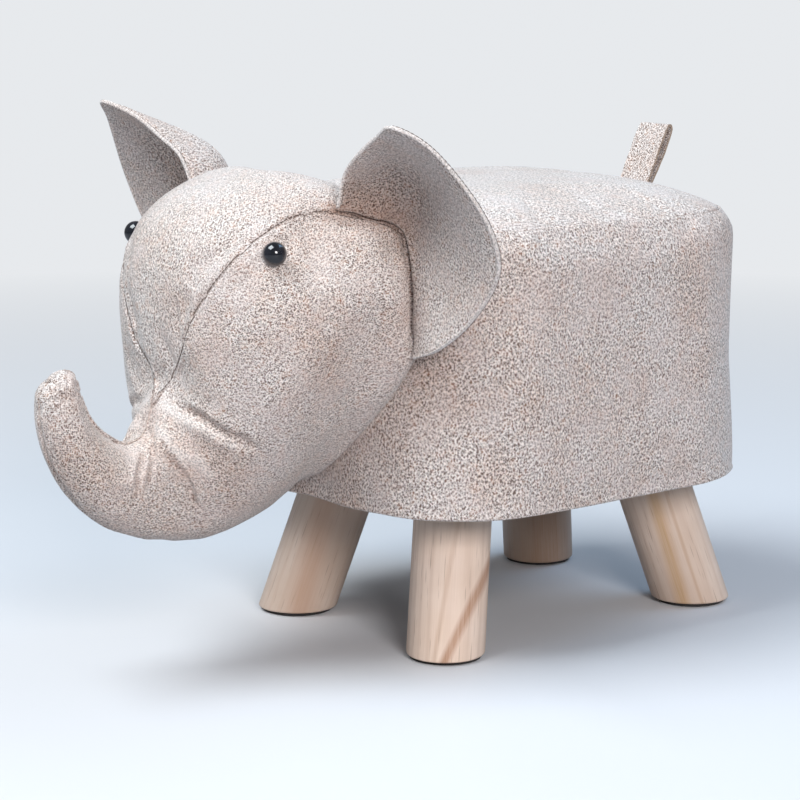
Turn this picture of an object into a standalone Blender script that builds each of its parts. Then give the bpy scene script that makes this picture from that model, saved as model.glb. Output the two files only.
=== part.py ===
"""Elephant footstool: an upholstered seat on four splayed legs, with a stuffed head and trunk.

The elephant faces -Y, its left side is +X, and Z is up from the floor. All lengths are in metres.
The seat is laid out about its own centre, and an empty carries it to the middle of the whole
object, whose reach runs from the trunk to the tail.
"""

import math

import bmesh
import bpy
from mathutils import Matrix, Vector
from mathutils.bvhtree import BVHTree
from mathutils.kdtree import KDTree

# Clearance between neighbouring pieces, and the overrun of the shapes that cut
GAP = 0.0003
OVERRUN = 0.004
WELD = 0.00001

# Seat body
BODY_LENGTH = 0.274
BODY_WIDTH = 0.248
BODY_BOTTOM = 0.0875
SEAT_HEIGHT = 0.267
CORNER_RADIUS = 0.074
CROWN_RISE = 0.017
CROWN_FULLNESS = 5
SEAM_INSET = 0.012
SHOULDER_DROP = 0.020
SIDE_LEAN = 0.002
HEM_WIDTH = 0.020
HEM_ROUND = 0.003

# Layers of the seat
FABRIC = 0.0012
DUST_CLOTH = 0.0006
DUST_INSET = 0.009
SIDE_FOAM = 0.008
SEAT_FOAM = 0.030
WALL = 0.003
BOARD = 0.015

# Frame posts and their screws
POST_SIZE = 0.028
POST_CLEARANCE = 0.003
POST_ROUND = 0.002
SCREW_LENGTH = 0.040
SCREW_RADIUS = 0.002
SCREW_HEAD_RADIUS = 0.004
SCREW_HEAD_DEPTH = 0.0025
SCREW_POINT = 0.004

# Legs, their bolts and feet
LEG_RADIUS = 0.023
FOOT_INSET_X = 0.0535
FOOT_INSET_Y = 0.035
LEG_TOP_INSET_X = 0.073
LEG_TOP_INSET_Y = 0.058
LEG_OFFSET = 0.011
FOOT_ROUND = 0.0015
PAD_RADIUS = 0.021
PAD_HEIGHT = 0.0015
LEG_OPENING = 0.001
BOLT_RADIUS = 0.004
BOLT_IN_LEG = 0.030
BOLT_STAND = 0.002
BOLT_POINT = 0.003
TNUT_BARREL = 0.0055
TNUT_DEPTH = 0.011
TNUT_FLANGE = 0.011
TNUT_SHEET = 0.0015

# Staples that hold the hem to the base board
STAPLE_WIDTH = 0.010
STAPLE_WIRE = 0.001
STAPLE_DEPTH = 0.008
STAPLE_INSET = 0.005
STAPLE_FROM_CORNER = 0.0065

# Head and trunk
HEAD_WIDTH = 0.196
HEAD_REACH = 0.183
HEAD_HEIGHT = 0.205
TRUNK_DROP = 0.190
SEAM_OPEN = 0.0004

# Ears
EAR_PANEL = 0.0016
EAR_CUP = 0.022
EAR_CLEARANCE = 0.0012
EAR_FLAP_LIFT = 0.007
EAR_ROOT_LIFT = 0.0016
EAR_END_WIDTH = 0.003

# Eyes
EYE_RADIUS = 0.0062
EYE_STAND = 0.0030
SHANK_RADIUS = 0.002
SHANK_LENGTH = 0.012
WASHER_RADIUS = 0.006
WASHER_SHEET = 0.0015
WASHER_SINK = 0.0030

# Tail loop
TAIL_WIDTH = 0.025
TAIL_HEIGHT = 0.043
TAIL_REACH = 0.024
TAIL_STRAP = 0.0014

# Counts
CORNER_STEPS = 6
SHOULDER_STEPS = 4
LEG_SIDES = 24
SCREW_SIDES = 10
BALL_SIDES = 16
BALL_STEPS = 6
HALF_GUSSET_COLUMNS = 3
HALF_SIDE_COLUMNS = 9
EAR_STEPS = 4

# Sections of the head and trunk, neck first: the upper rail's reach and height, the lower rail's
# reach and height, the half width, the height of the widest line, the roundness of the upper and
# the lower part, and the half width of the forehead panel
head_section_shares = [
    (-0.169, 0.878, -0.142, 0.141, 0.95, 0.56, 4.0, 1.20, 0.87),
    (-0.011, 0.946, 0.016, 0.112, 0.95, 0.49, 4.4, 1.22, 0.83),
    (0.131, 1.000, 0.109, 0.078, 0.91, 0.52, 3.3, 1.17, 0.76),
    (0.273, 0.995, 0.191, 0.054, 0.87, 0.53, 2.6, 1.28, 0.62),
    (0.421, 0.951, 0.279, 0.029, 0.81, 0.51, 2.4, 1.42, 0.57),
    (0.519, 0.883, 0.350, 0.015, 0.69, 0.50, 2.5, 1.58, 0.51),
    (0.568, 0.805, 0.421, 0.002, 0.52, 0.47, 2.5, 1.80, 0.40),
    (0.585, 0.712, 0.492, 0.000, 0.39, 0.47, 2.4, 1.90, 0.30),
    (0.568, 0.595, 0.563, 0.005, 0.32, 0.47, 2.2, 2.00, 0.20),
    (0.557, 0.478, 0.634, 0.020, 0.28, 0.48, 1.9, 2.00, 0.09),
    (0.601, 0.390, 0.699, 0.039, 0.26, 0.50, 2.0, 2.00, 0.00),
    (0.634, 0.317, 0.765, 0.068, 0.24, 0.50, 2.0, 2.00, 0.00),
    (0.694, 0.298, 0.825, 0.107, 0.22, 0.50, 2.0, 2.00, 0.00),
    (0.749, 0.322, 0.885, 0.161, 0.21, 0.50, 2.0, 2.00, 0.00),
    (0.798, 0.361, 0.934, 0.224, 0.19, 0.50, 2.0, 2.00, 0.00),
    (0.831, 0.410, 0.973, 0.298, 0.18, 0.50, 2.0, 2.00, 0.00),
    (0.847, 0.454, 0.995, 0.376, 0.16, 0.50, 2.0, 2.00, 0.00),
    (0.858, 0.488, 1.000, 0.439, 0.13, 0.50, 2.0, 2.00, 0.00),
    (0.885, 0.512, 0.984, 0.488, 0.08, 0.50, 2.0, 2.00, 0.00),
]
trunk_root_section = 10

# Ear, from the front of its root round to the bottom: the root and the free edge, each as shares
# of the head's half width, reach and height, and the depth of its cup
ear_outline_shares = [
    ((0.67, 0.19, 0.92), (0.67, 0.19, 0.92), 0.00),
    ((0.72, 0.15, 0.91), (0.79, 0.19, 1.02), 0.40),
    ((0.78, 0.11, 0.90), (0.94, 0.21, 1.07), 0.70),
    ((0.83, 0.05, 0.89), (1.16, 0.22, 1.13), 1.00),
    ((0.88, 0.00, 0.88), (1.40, 0.27, 1.16), 1.00),
    ((0.92, -0.01, 0.83), (1.55, 0.18, 1.10), 0.85),
    ((0.94, -0.01, 0.77), (1.70, 0.08, 0.95), 0.50),
    ((0.96, -0.01, 0.71), (1.71, 0.01, 0.82), 0.30),
    ((0.97, -0.01, 0.65), (1.60, -0.01, 0.74), 0.20),
    ((0.98, -0.01, 0.60), (1.40, -0.01, 0.62), 0.12),
    ((0.98, -0.01, 0.55), (1.19, -0.01, 0.55), 0.05),
    ((0.98, -0.01, 0.51), (0.98, -0.01, 0.51), 0.00),
]
ear_bend_row = 4

# The way in which the hollow of an ear is pushed back and up
ear_bow = Vector((0, 0.7, 0.7)).normalized()

# Eye, as shares of the head's half width, reach and height
eye_place_shares = (0.605, 0.378, 0.793)

# Tail loop seen from the side: rearward reach and height of its outer face, front foot first
tail_outline_shares = [
    (0.00, 0.009), (0.11, 0.20), (0.33, 0.45), (0.56, 0.72), (0.80, 0.96), (0.90, 1.00),
    (0.97, 0.985), (1.00, 0.94), (0.98, 0.87), (0.78, 0.62), (0.54, 0.38), (0.31, 0.17), (0.15, 0.02),
]

# Colour, roughness and metallic value of each finish
finishes = {
    "fabric": ((0.62, 0.56, 0.50), 0.85, 0.0),
    "pine": ((0.72, 0.55, 0.38), 0.55, 0.0),
    "plywood": ((0.62, 0.47, 0.31), 0.75, 0.0),
    "fibreboard": ((0.42, 0.30, 0.20), 0.85, 0.0),
    "foam": ((0.86, 0.80, 0.62), 0.95, 0.0),
    "wadding": ((0.90, 0.90, 0.88), 1.0, 0.0),
    "black_cloth": ((0.02, 0.02, 0.022), 0.9, 0.0),
    "steel": ((0.62, 0.62, 0.64), 0.35, 1.0),
    "felt": ((0.05, 0.045, 0.04), 0.95, 0.0),
    "eye": ((0.008, 0.009, 0.012), 0.12, 0.0),
    "washer": ((0.75, 0.75, 0.73), 0.5, 0.0),
}

# Heights and insets that follow from the sizes above
SEAM_HEIGHT = SEAT_HEIGHT - CROWN_RISE
TRUNK_BOTTOM = SEAT_HEIGHT - TRUNK_DROP
HEM_BOTTOM = BODY_BOTTOM + DUST_CLOTH + GAP
BOARD_BOTTOM = HEM_BOTTOM + FABRIC + GAP
SEAT_FOAM_BOTTOM = SEAT_HEIGHT - FABRIC - GAP - SEAT_FOAM
SEAT_BOARD_TOP = SEAT_FOAM_BOTTOM - GAP
LINING = FABRIC + GAP
WALL_INSET = LINING + SIDE_FOAM + GAP
BOARD_INSET = WALL_INSET + WALL + GAP
POST_REACH = (CORNER_RADIUS - BOARD_INSET - POST_CLEARANCE) * math.sqrt(0.5)
POST_INSET = CORNER_RADIUS + POST_SIZE / 2 - POST_REACH

# Where the seat's centre lies, so that the object's middle is at the origin
FRONT_REACH = BODY_LENGTH / 2 + HEAD_REACH
REAR_REACH = BODY_LENGTH / 2 - SEAM_INSET + TAIL_REACH
SEAT_CENTRE_Y = (FRONT_REACH - REAR_REACH) / 2

for leftover in list(bpy.data.objects):
    bpy.data.objects.remove(leftover, do_unlink=True)

parts = bpy.data.collections.new("elephant_footstool")
cutters = bpy.data.collections.new("cutters")
bpy.context.scene.collection.children.link(parts)
bpy.context.scene.collection.children.link(cutters)

seat_centre = bpy.data.objects.new("seat_centre", None)
seat_centre.location = (0, SEAT_CENTRE_Y, 0)
parts.objects.link(seat_centre)


def make_material(name, finish):
    """A plain surface in the finish's colour."""
    colour, roughness, metallic = finishes[finish]
    material = bpy.data.materials.new(name)
    material.use_nodes = True
    shader = material.node_tree.nodes["Principled BSDF"]
    shader.inputs["Base Color"].default_value = (*colour, 1.0)
    shader.inputs["Roughness"].default_value = roughness
    shader.inputs["Metallic"].default_value = metallic
    return material


def add_object(name, mesh, collection, parent):
    """An object from a bmesh that is laid out about the seat's centre."""
    data = bpy.data.meshes.new(name)
    if parent is not seat_centre:
        bmesh.ops.translate(mesh, vec=-parent.location, verts=mesh.verts)
    mesh.to_mesh(data)
    mesh.free()
    piece = bpy.data.objects.new(name, data)
    collection.objects.link(piece)
    piece.parent = parent
    return piece


def add_part(name, mesh, finish, parent=seat_centre, smooth=40):
    """A sub-part with its own material, smooth where its faces turn gently."""
    piece = add_object(name, mesh, parts, parent)
    piece.data.shade_smooth()
    piece.data.set_sharp_from_angle(angle=math.radians(smooth))
    piece.data.materials.append(make_material(name, finish))
    return piece


def add_cutter(name, mesh, parent=seat_centre):
    """A shape that is only subtracted from others."""
    piece = add_object(name, mesh, cutters, parent)
    piece.hide_render = True
    piece.display_type = "WIRE"
    return piece


def cut(piece, tools):
    """Subtract each cutter from the piece."""
    for tool in tools:
        modifier = piece.modifiers.new("cut " + tool.name, "BOOLEAN")
        modifier.operation = "DIFFERENCE"
        modifier.solver = "EXACT"
        modifier.object = tool


def add_quad(mesh, corners, split):
    """A four-sided face, or its two triangles, split from the first corner to the third."""
    if not split:
        return [mesh.faces.new(corners)]
    return [mesh.faces.new(corners[0:3]), mesh.faces.new((corners[0], corners[2], corners[3]))]


def join_rings(rings, closed=False, split=False):
    """A closed surface through rings of equal count: capped, or running back to its start."""
    mesh = bmesh.new()
    loops = [[mesh.verts.new(point) for point in ring] for ring in rings]
    pairs = list(zip(loops, loops[1:]))
    if closed:
        pairs.append((loops[-1], loops[0]))
    for here, there in pairs:
        for i in range(len(here)):
            j = (i + 1) % len(here)
            add_quad(mesh, (here[i], here[j], there[j], there[i]), split)
    if not closed:
        mesh.faces.new(loops[0])
        mesh.faces.new(loops[-1])
    bmesh.ops.recalc_face_normals(mesh, faces=mesh.faces)
    return mesh


def plan_ring(inset, height):
    """The seat's rounded oblong, drawn in by an inset, at one height."""
    radius = CORNER_RADIUS - inset
    corner_x = BODY_WIDTH / 2 - CORNER_RADIUS
    corner_y = BODY_LENGTH / 2 - CORNER_RADIUS
    ring = []
    for quarter, (sign_x, sign_y) in enumerate(((1, 1), (-1, 1), (-1, -1), (1, -1))):
        for step in range(CORNER_STEPS + 1):
            angle = (quarter + step / CORNER_STEPS) * math.pi / 2
            x = sign_x * corner_x + radius * math.cos(angle)
            y = sign_y * corner_y + radius * math.sin(angle)
            ring.append(Vector((x, y, height)))
    return ring


def crown_ring(share, sink):
    """A ring of the seat's crowned top, at a share of the seam ring's size."""
    height = SEAM_HEIGHT + CROWN_RISE * (1 - share ** CROWN_FULLNESS) - sink
    scale = Matrix.Diagonal((share, share, 1))
    return [scale @ point for point in plan_ring(SEAM_INSET, height)]


crown_shares = (0.97, 0.90, 0.78, 0.60, 0.34)


def side_outline(sink):
    """Inset and height of the seat's side, from the hem to the seam, sunk inwards."""
    outline = [(sink, HEM_BOTTOM)]
    for step in range(SHOULDER_STEPS + 1):
        turn = step / SHOULDER_STEPS * math.pi / 2
        inset = SIDE_LEAN + (SEAM_INSET - SIDE_LEAN) * (1 - math.cos(turn)) + sink * math.cos(turn)
        rise = SHOULDER_DROP * math.sin(turn) - sink * math.sin(turn)
        outline.append((inset, SEAM_HEIGHT - SHOULDER_DROP + rise))
    return outline


def side_between(sink, low, high):
    """The part of the seat's side outline that lies between two heights."""
    outline = side_outline(sink)
    middle = [point for point in outline if low < point[1] < high]
    ends = []
    for height in (low, high):
        above = next((i for i in range(1, len(outline)) if outline[i][1] >= height), len(outline) - 1)
        (inset_1, height_1), (inset_2, height_2) = outline[above - 1:above + 1]
        share = (height - height_1) / (height_2 - height_1)
        ends.append((inset_1 + (inset_2 - inset_1) * share, height))
    return ends[:1] + middle + ends[1:]


def band(outline):
    """A closed outline of insets and heights swept round the seat's plan."""
    return join_rings([plan_ring(inset, height) for inset, height in outline], closed=True)


def turned(name, outline, finish, place, sides, closed=False):
    """A round piece: a half outline of radii and heights, turned about a vertical axis."""
    mesh = bmesh.new()
    points = [mesh.verts.new((radius, 0, height)) for radius, height in outline]
    for here, there in zip(points, points[1:]):
        mesh.edges.new((here, there))
    if closed:
        mesh.edges.new((points[-1], points[0]))
    if finish:
        piece = add_part(name, mesh, finish)
    else:
        piece = add_cutter(name, mesh)
    piece.location = place
    screw = piece.modifiers.new("turn", "SCREW")
    screw.steps = sides
    screw.render_steps = sides
    screw.use_merge_vertices = True
    screw.merge_threshold = WELD
    return piece


def corner_places(inset_x, inset_y, height, offset=0.0):
    """Four places drawn in from the corners of the seat's oblong, each with its name."""
    x, y = BODY_WIDTH / 2 - inset_x, BODY_LENGTH / 2 - inset_y
    return {
        "front_left": Vector((x, offset - y, height)),
        "front_right": Vector((-x, offset - y, height)),
        "rear_left": Vector((x, offset + y, height)),
        "rear_right": Vector((-x, offset + y, height)),
    }


def screw_outline(grow):
    """A countersunk screw pointing down, its head's face at zero height."""
    return [
        (0, grow),
        (SCREW_HEAD_RADIUS + grow, grow),
        (SCREW_HEAD_RADIUS + grow, 0),
        (SCREW_RADIUS + grow, -SCREW_HEAD_DEPTH - grow),
        (SCREW_RADIUS + grow, SCREW_POINT - SCREW_LENGTH),
        (0, -SCREW_LENGTH - grow),
    ]


def make_frame():
    """Boards, corner posts and screws, and the bent wall round them."""
    seat_board = add_part("seat_board", join_rings([
        plan_ring(BOARD_INSET, SEAT_BOARD_TOP - BOARD),
        plan_ring(BOARD_INSET, SEAT_BOARD_TOP),
    ]), "plywood")
    base_board = add_part("base_board", join_rings([
        plan_ring(BOARD_INSET, BOARD_BOTTOM),
        plan_ring(BOARD_INSET, BOARD_BOTTOM + BOARD),
    ]), "plywood")
    wall_top = SEAT_FOAM_BOTTOM - GAP
    add_part("side_wall", band([
        (WALL_INSET, BOARD_BOTTOM), (WALL_INSET, wall_top),
        (WALL_INSET + WALL, wall_top), (WALL_INSET + WALL, BOARD_BOTTOM),
    ]), "fibreboard")

    post_bottom = BOARD_BOTTOM + BOARD + GAP
    post_top = SEAT_BOARD_TOP - BOARD - GAP
    for corner, place in corner_places(POST_INSET, POST_INSET, 0).items():
        mesh = bmesh.new()
        bmesh.ops.create_cube(mesh, size=1)
        bmesh.ops.scale(mesh, vec=(POST_SIZE, POST_SIZE, post_top - post_bottom), verts=mesh.verts)
        uprights = [edge for edge in mesh.edges if abs(edge.verts[0].co.z - edge.verts[1].co.z) > GAP]
        bmesh.ops.bevel(mesh, geom=uprights, offset=POST_ROUND, segments=2, profile=0.5,
                        affect="EDGES", material=-1)
        middle = Vector((0, 0, (post_top + post_bottom) / 2))
        bmesh.ops.translate(mesh, vec=place + middle, verts=mesh.verts)
        post = add_part("frame_post_" + corner, mesh, "pine")

        top_place = place + Vector((0, 0, SEAT_BOARD_TOP))
        base_place = place + Vector((0, 0, BOARD_BOTTOM))
        turned("seat_board_screw_" + corner, screw_outline(0), "steel", top_place, SCREW_SIDES)
        base_screw = turned("base_board_screw_" + corner, screw_outline(0), "steel", base_place, SCREW_SIDES)
        base_screw.rotation_euler = (math.pi, 0, 0)
        top_hole = turned("seat_screw_hole_" + corner, screw_outline(GAP), None, top_place, SCREW_SIDES)
        base_hole = turned("base_screw_hole_" + corner, screw_outline(GAP), None, base_place, SCREW_SIDES)
        base_hole.rotation_euler = (math.pi, 0, 0)
        cut(seat_board, [top_hole])
        cut(base_board, [base_hole])
        cut(post, [top_hole, base_hole])
    return base_board


def leg_shape(foot, top, radius, bottom_height, top_height, rounding):
    """A round leg along the line from foot to top, sawn level at both ends."""
    along = (top - foot).normalized()
    mesh = bmesh.new()
    bmesh.ops.create_cone(mesh, cap_ends=True, segments=LEG_SIDES, radius1=radius, radius2=radius,
                          depth=(top - foot).length + 4 * radius)
    turn = along.to_track_quat("Z", "Y").to_matrix()
    bmesh.ops.rotate(mesh, cent=(0, 0, 0), matrix=turn, verts=mesh.verts)
    bmesh.ops.translate(mesh, vec=(foot + top) / 2, verts=mesh.verts)
    for height, side in ((bottom_height, -1), (top_height, 1)):
        level = Vector((0, 0, height))
        everything = mesh.verts[:] + mesh.edges[:] + mesh.faces[:]
        bmesh.ops.bisect_plane(mesh, geom=everything, plane_co=level, plane_no=(0, 0, side), clear_outer=True)
        rim = [edge for edge in mesh.edges if edge.is_boundary]
        end = bmesh.ops.edgeloop_fill(mesh, edges=rim)["faces"]
        if side < 0 and rounding:
            bmesh.ops.bevel(mesh, geom=list(end[0].edges), offset=rounding, segments=2, profile=0.5,
                            affect="EDGES", material=-1)
    bmesh.ops.recalc_face_normals(mesh, faces=mesh.faces)
    return mesh


def make_legs(base_board):
    """Four legs, each on a hanger bolt in a T-nut of the base board, with a pad under its foot."""
    leg_bottom = PAD_HEIGHT + GAP
    leg_top = BOARD_BOTTOM - GAP
    feet = corner_places(FOOT_INSET_X, FOOT_INSET_Y, leg_bottom, LEG_OFFSET)
    tops = corner_places(LEG_TOP_INSET_X, LEG_TOP_INSET_Y, leg_top, LEG_OFFSET)
    board_top = BOARD_BOTTOM + BOARD
    bolt_low = leg_top - BOLT_IN_LEG
    bolt_high = board_top + TNUT_SHEET + BOLT_STAND
    leg_holes = []
    for corner, foot in feet.items():
        top = tops[corner]
        over_leg = Vector((top.x, top.y, 0))
        leg = add_part("leg_" + corner, leg_shape(foot, top, LEG_RADIUS, leg_bottom, leg_top, FOOT_ROUND), "pine")
        turned("leg_bolt_" + corner, [
            (0, bolt_high), (BOLT_RADIUS, bolt_high), (BOLT_RADIUS, bolt_low + BOLT_POINT), (0, bolt_low),
        ], "steel", over_leg, SCREW_SIDES)
        bore = turned("leg_bore_" + corner, [
            (0, leg_top + OVERRUN), (BOLT_RADIUS + GAP, leg_top + OVERRUN),
            (BOLT_RADIUS + GAP, bolt_low - GAP), (0, bolt_low - GAP),
        ], None, over_leg, SCREW_SIDES)
        cut(leg, [bore])
        flange_bottom = board_top + GAP
        flange_top = flange_bottom + TNUT_SHEET
        turned("t_nut_" + corner, [
            (BOLT_RADIUS + GAP, flange_top), (TNUT_FLANGE, flange_top), (TNUT_FLANGE, flange_bottom),
            (TNUT_BARREL, flange_bottom), (TNUT_BARREL, board_top - TNUT_DEPTH),
            (BOLT_RADIUS + GAP, board_top - TNUT_DEPTH),
        ], "steel", over_leg, SCREW_SIDES, closed=True)
        nut_hole = turned("t_nut_hole_" + corner, [
            (0, board_top + OVERRUN), (TNUT_BARREL + GAP, board_top + OVERRUN),
            (TNUT_BARREL + GAP, BOARD_BOTTOM - OVERRUN), (0, BOARD_BOTTOM - OVERRUN),
        ], None, over_leg, SCREW_SIDES)
        cut(base_board, [nut_hole])
        turned("foot_pad_" + corner, [
            (0, PAD_HEIGHT), (PAD_RADIUS, PAD_HEIGHT), (PAD_RADIUS, 0), (0, 0),
        ], "felt", Vector((foot.x, foot.y, 0)), LEG_SIDES)
        around = leg_shape(foot, top, LEG_RADIUS + LEG_OPENING, BODY_BOTTOM - OVERRUN, leg_top, 0)
        leg_holes.append(add_cutter("leg_opening_" + corner, around))
    return leg_holes


def staple_places():
    """Middle and direction of each staple in the hem: two to a side."""
    middle_inset = DUST_INSET + STAPLE_INSET
    side_x = BODY_WIDTH / 2 - middle_inset
    side_y = BODY_LENGTH / 2 - middle_inset
    along_x = BODY_WIDTH / 2 - CORNER_RADIUS - STAPLE_FROM_CORNER
    along_y = BODY_LENGTH / 2 - CORNER_RADIUS - STAPLE_FROM_CORNER
    places = {}
    for side, sign in (("left", 1), ("right", -1)):
        for end, step in (("front", -1), ("rear", 1)):
            places["hem_staple_%s_%s" % (side, end)] = (Vector((sign * side_x, step * along_y, 0)), 1)
    for side, sign in (("front", -1), ("rear", 1)):
        for end, step in (("left", 1), ("right", -1)):
            places["hem_staple_%s_%s" % (side, end)] = (Vector((step * along_x, sign * side_y, 0)), 0)
    return places


def box_shape(size, place):
    """A box of three sizes about a place."""
    mesh = bmesh.new()
    bmesh.ops.create_cube(mesh, size=1)
    bmesh.ops.scale(mesh, vec=size, verts=mesh.verts)
    bmesh.ops.translate(mesh, vec=place, verts=mesh.verts)
    return mesh


def staple_shape(place, lengthways):
    """A U of square wire, its crown under the cloth and its two points in the board."""
    crown_low = BODY_BOTTOM - GAP - STAPLE_WIRE
    crown_high = BODY_BOTTOM - GAP
    point = crown_high + STAPLE_DEPTH
    half = STAPLE_WIDTH / 2
    inner = half - STAPLE_WIRE
    outline = [(-half, crown_low), (half, crown_low), (half, point), (inner, point),
               (inner, crown_high), (-inner, crown_high), (-inner, point), (-half, point)]
    mesh = bmesh.new()
    corners = [mesh.verts.new((across, -STAPLE_WIRE / 2, height)) for across, height in outline]
    face = mesh.faces.new(corners)
    grown = bmesh.ops.extrude_face_region(mesh, geom=[face])["geom"]
    moved = [item for item in grown if isinstance(item, bmesh.types.BMVert)]
    bmesh.ops.translate(mesh, vec=(0, STAPLE_WIRE, 0), verts=moved)
    bmesh.ops.recalc_face_normals(mesh, faces=mesh.faces)
    turn = Matrix.Rotation(math.pi / 2 * lengthways, 3, "Z")
    bmesh.ops.rotate(mesh, cent=(0, 0, 0), matrix=turn, verts=mesh.verts)
    bmesh.ops.translate(mesh, vec=place, verts=mesh.verts)
    return mesh


def make_seat(base_board, leg_holes):
    """Foam, cover panels, dust cover, and the staples that hold the hem."""
    shoulder = side_between(LINING, SEAT_FOAM_BOTTOM, SEAM_HEIGHT - LINING)
    foam_rings = [plan_ring(inset, height) for inset, height in shoulder]
    foam_rings += [crown_ring(share, LINING + GAP) for share in crown_shares]
    add_part("seat_foam", join_rings(foam_rings), "foam")
    foam_top = SEAT_FOAM_BOTTOM - GAP
    foam_side = side_between(LINING, HEM_BOTTOM + HEM_ROUND + GAP, foam_top)
    add_part("side_foam", band(foam_side + [
        (LINING + SIDE_FOAM, foam_top), (LINING + SIDE_FOAM, BOARD_BOTTOM), (HEM_ROUND + GAP, BOARD_BOTTOM),
    ]), "foam")

    rim = [crown_ring(1, 0)]
    top_rings = [crown_ring(share, FABRIC) for share in reversed(crown_shares)]
    top_rings += [crown_ring(1, FABRIC)] + rim + [crown_ring(share, 0) for share in crown_shares]
    add_part("seat_cover_top", join_rings(top_rings), "fabric")

    hem_top = HEM_BOTTOM + FABRIC
    outer = side_between(0, HEM_BOTTOM + HEM_ROUND, SEAM_HEIGHT)
    inner = side_between(FABRIC, HEM_BOTTOM + HEM_ROUND, SEAM_HEIGHT - FABRIC)
    for layer in (outer, inner):
        layer[-1] = (layer[-1][0] - GAP, layer[-1][1])
    side_cover = add_part("seat_cover_side", band(
        [(HEM_WIDTH, HEM_BOTTOM), (HEM_ROUND, HEM_BOTTOM)] + outer
        + list(reversed(inner)) + [(HEM_ROUND, hem_top), (HEM_WIDTH, hem_top)]
    ), "fabric")
    dust_cover = add_part("dust_cover", join_rings([
        plan_ring(DUST_INSET, BODY_BOTTOM), plan_ring(DUST_INSET, BODY_BOTTOM + DUST_CLOTH),
    ]), "black_cloth")
    cut(dust_cover, leg_holes)

    for name, (place, lengthways) in staple_places().items():
        add_part(name, staple_shape(place, lengthways), "steel")
        step = Vector((STAPLE_WIDTH - STAPLE_WIRE, 0, 0)) / 2
        if lengthways:
            step = Vector((0, STAPLE_WIDTH - STAPLE_WIRE, 0)) / 2
        slot = STAPLE_WIRE + 2 * GAP
        for end, sign in (("a", 1), ("b", -1)):
            middle = place + sign * step + Vector((0, 0, BODY_BOTTOM + STAPLE_DEPTH / 2 - GAP))
            size = (slot, slot, STAPLE_DEPTH + GAP * 2)
            hole = add_cutter(name + "_hole_" + end, box_shape(size, middle))
            cut(dust_cover, [hole])
            cut(side_cover, [hole])
            cut(base_board, [hole])


def head_point(share_x, share_reach, share_height):
    """A place on or by the head, from its shares of half width, reach and height."""
    return Vector((
        share_x * HEAD_WIDTH / 2,
        -BODY_LENGTH / 2 - share_reach * HEAD_REACH,
        TRUNK_BOTTOM + share_height * HEAD_HEIGHT,
    ))


def head_ring(shares):
    """One section of the head or trunk: its left half from the top seam down, then the right."""
    upper_reach, upper_height, lower_reach, lower_height, width, widest, over, under, gusset = shares
    upper = head_point(0, upper_reach, upper_height)
    lower = head_point(0, lower_reach, lower_height)
    axis = lower.lerp(upper, widest)
    seam_angle = math.acos((gusset / width) ** (over / 2))
    angles = [math.pi / 2 + (seam_angle - math.pi / 2) * step / HALF_GUSSET_COLUMNS
              for step in range(HALF_GUSSET_COLUMNS)]
    angles += [seam_angle - (seam_angle + math.pi / 2) * step / HALF_SIDE_COLUMNS
               for step in range(HALF_SIDE_COLUMNS + 1)]
    half = []
    for angle in angles:
        power = over if angle > 0 else under
        out = max(math.cos(angle), 0) ** (2 / power) * width * HEAD_WIDTH / 2
        rise = abs(math.sin(angle)) ** (2 / power)
        place = axis.lerp(upper if angle > 0 else lower, rise)
        half.append(place + Vector((out, 0, 0)))
    mirrored = [Vector((-point.x, point.y, point.z)) for point in half[-2:0:-1]]
    return half + mirrored


def side_of_column(column):
    """Which panel a column of the head belongs to: 0 forehead, 1 left, 2 right. The neck's end is 3."""
    count = 2 * (HALF_GUSSET_COLUMNS + HALF_SIDE_COLUMNS)
    if column < HALF_GUSSET_COLUMNS or column >= count - HALF_GUSSET_COLUMNS:
        return 0
    return 1 if column < count / 2 else 2


def head_form():
    """The whole outside of head and trunk as one closed form, its faces marked by panel."""
    mesh = bmesh.new()
    rings = [[mesh.verts.new(point) for point in head_ring(row)] for row in head_section_shares]
    for here, there in zip(rings, rings[1:]):
        for column in range(len(here)):
            beside = (column + 1) % len(here)
            corners = (here[column], here[beside], there[beside], there[column])
            for face in add_quad(mesh, corners, True):
                face.material_index = side_of_column(column)
    last = rings[-1]
    tip = mesh.verts.new(sum((vert.co for vert in last), Vector()) / len(last))
    for column in range(len(last)):
        face = mesh.faces.new((last[column], last[(column + 1) % len(last)], tip))
        face.material_index = 1 if column < len(last) / 2 else 2
    mesh.faces.new(rings[0]).material_index = 3
    bmesh.ops.remove_doubles(mesh, verts=mesh.verts, dist=WELD)
    bmesh.ops.recalc_face_normals(mesh, faces=mesh.faces)
    mesh.normal_update()
    return mesh


def moved_along_normals(mesh, distance):
    """A copy of a form, grown outwards along its normals, or shrunk if the distance is negative."""
    copy = mesh.copy()
    copy.normal_update()
    shifts = [vert.normal * distance for vert in copy.verts]
    for vert, shift in zip(copy.verts, shifts):
        vert.co += shift
    return copy


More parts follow.
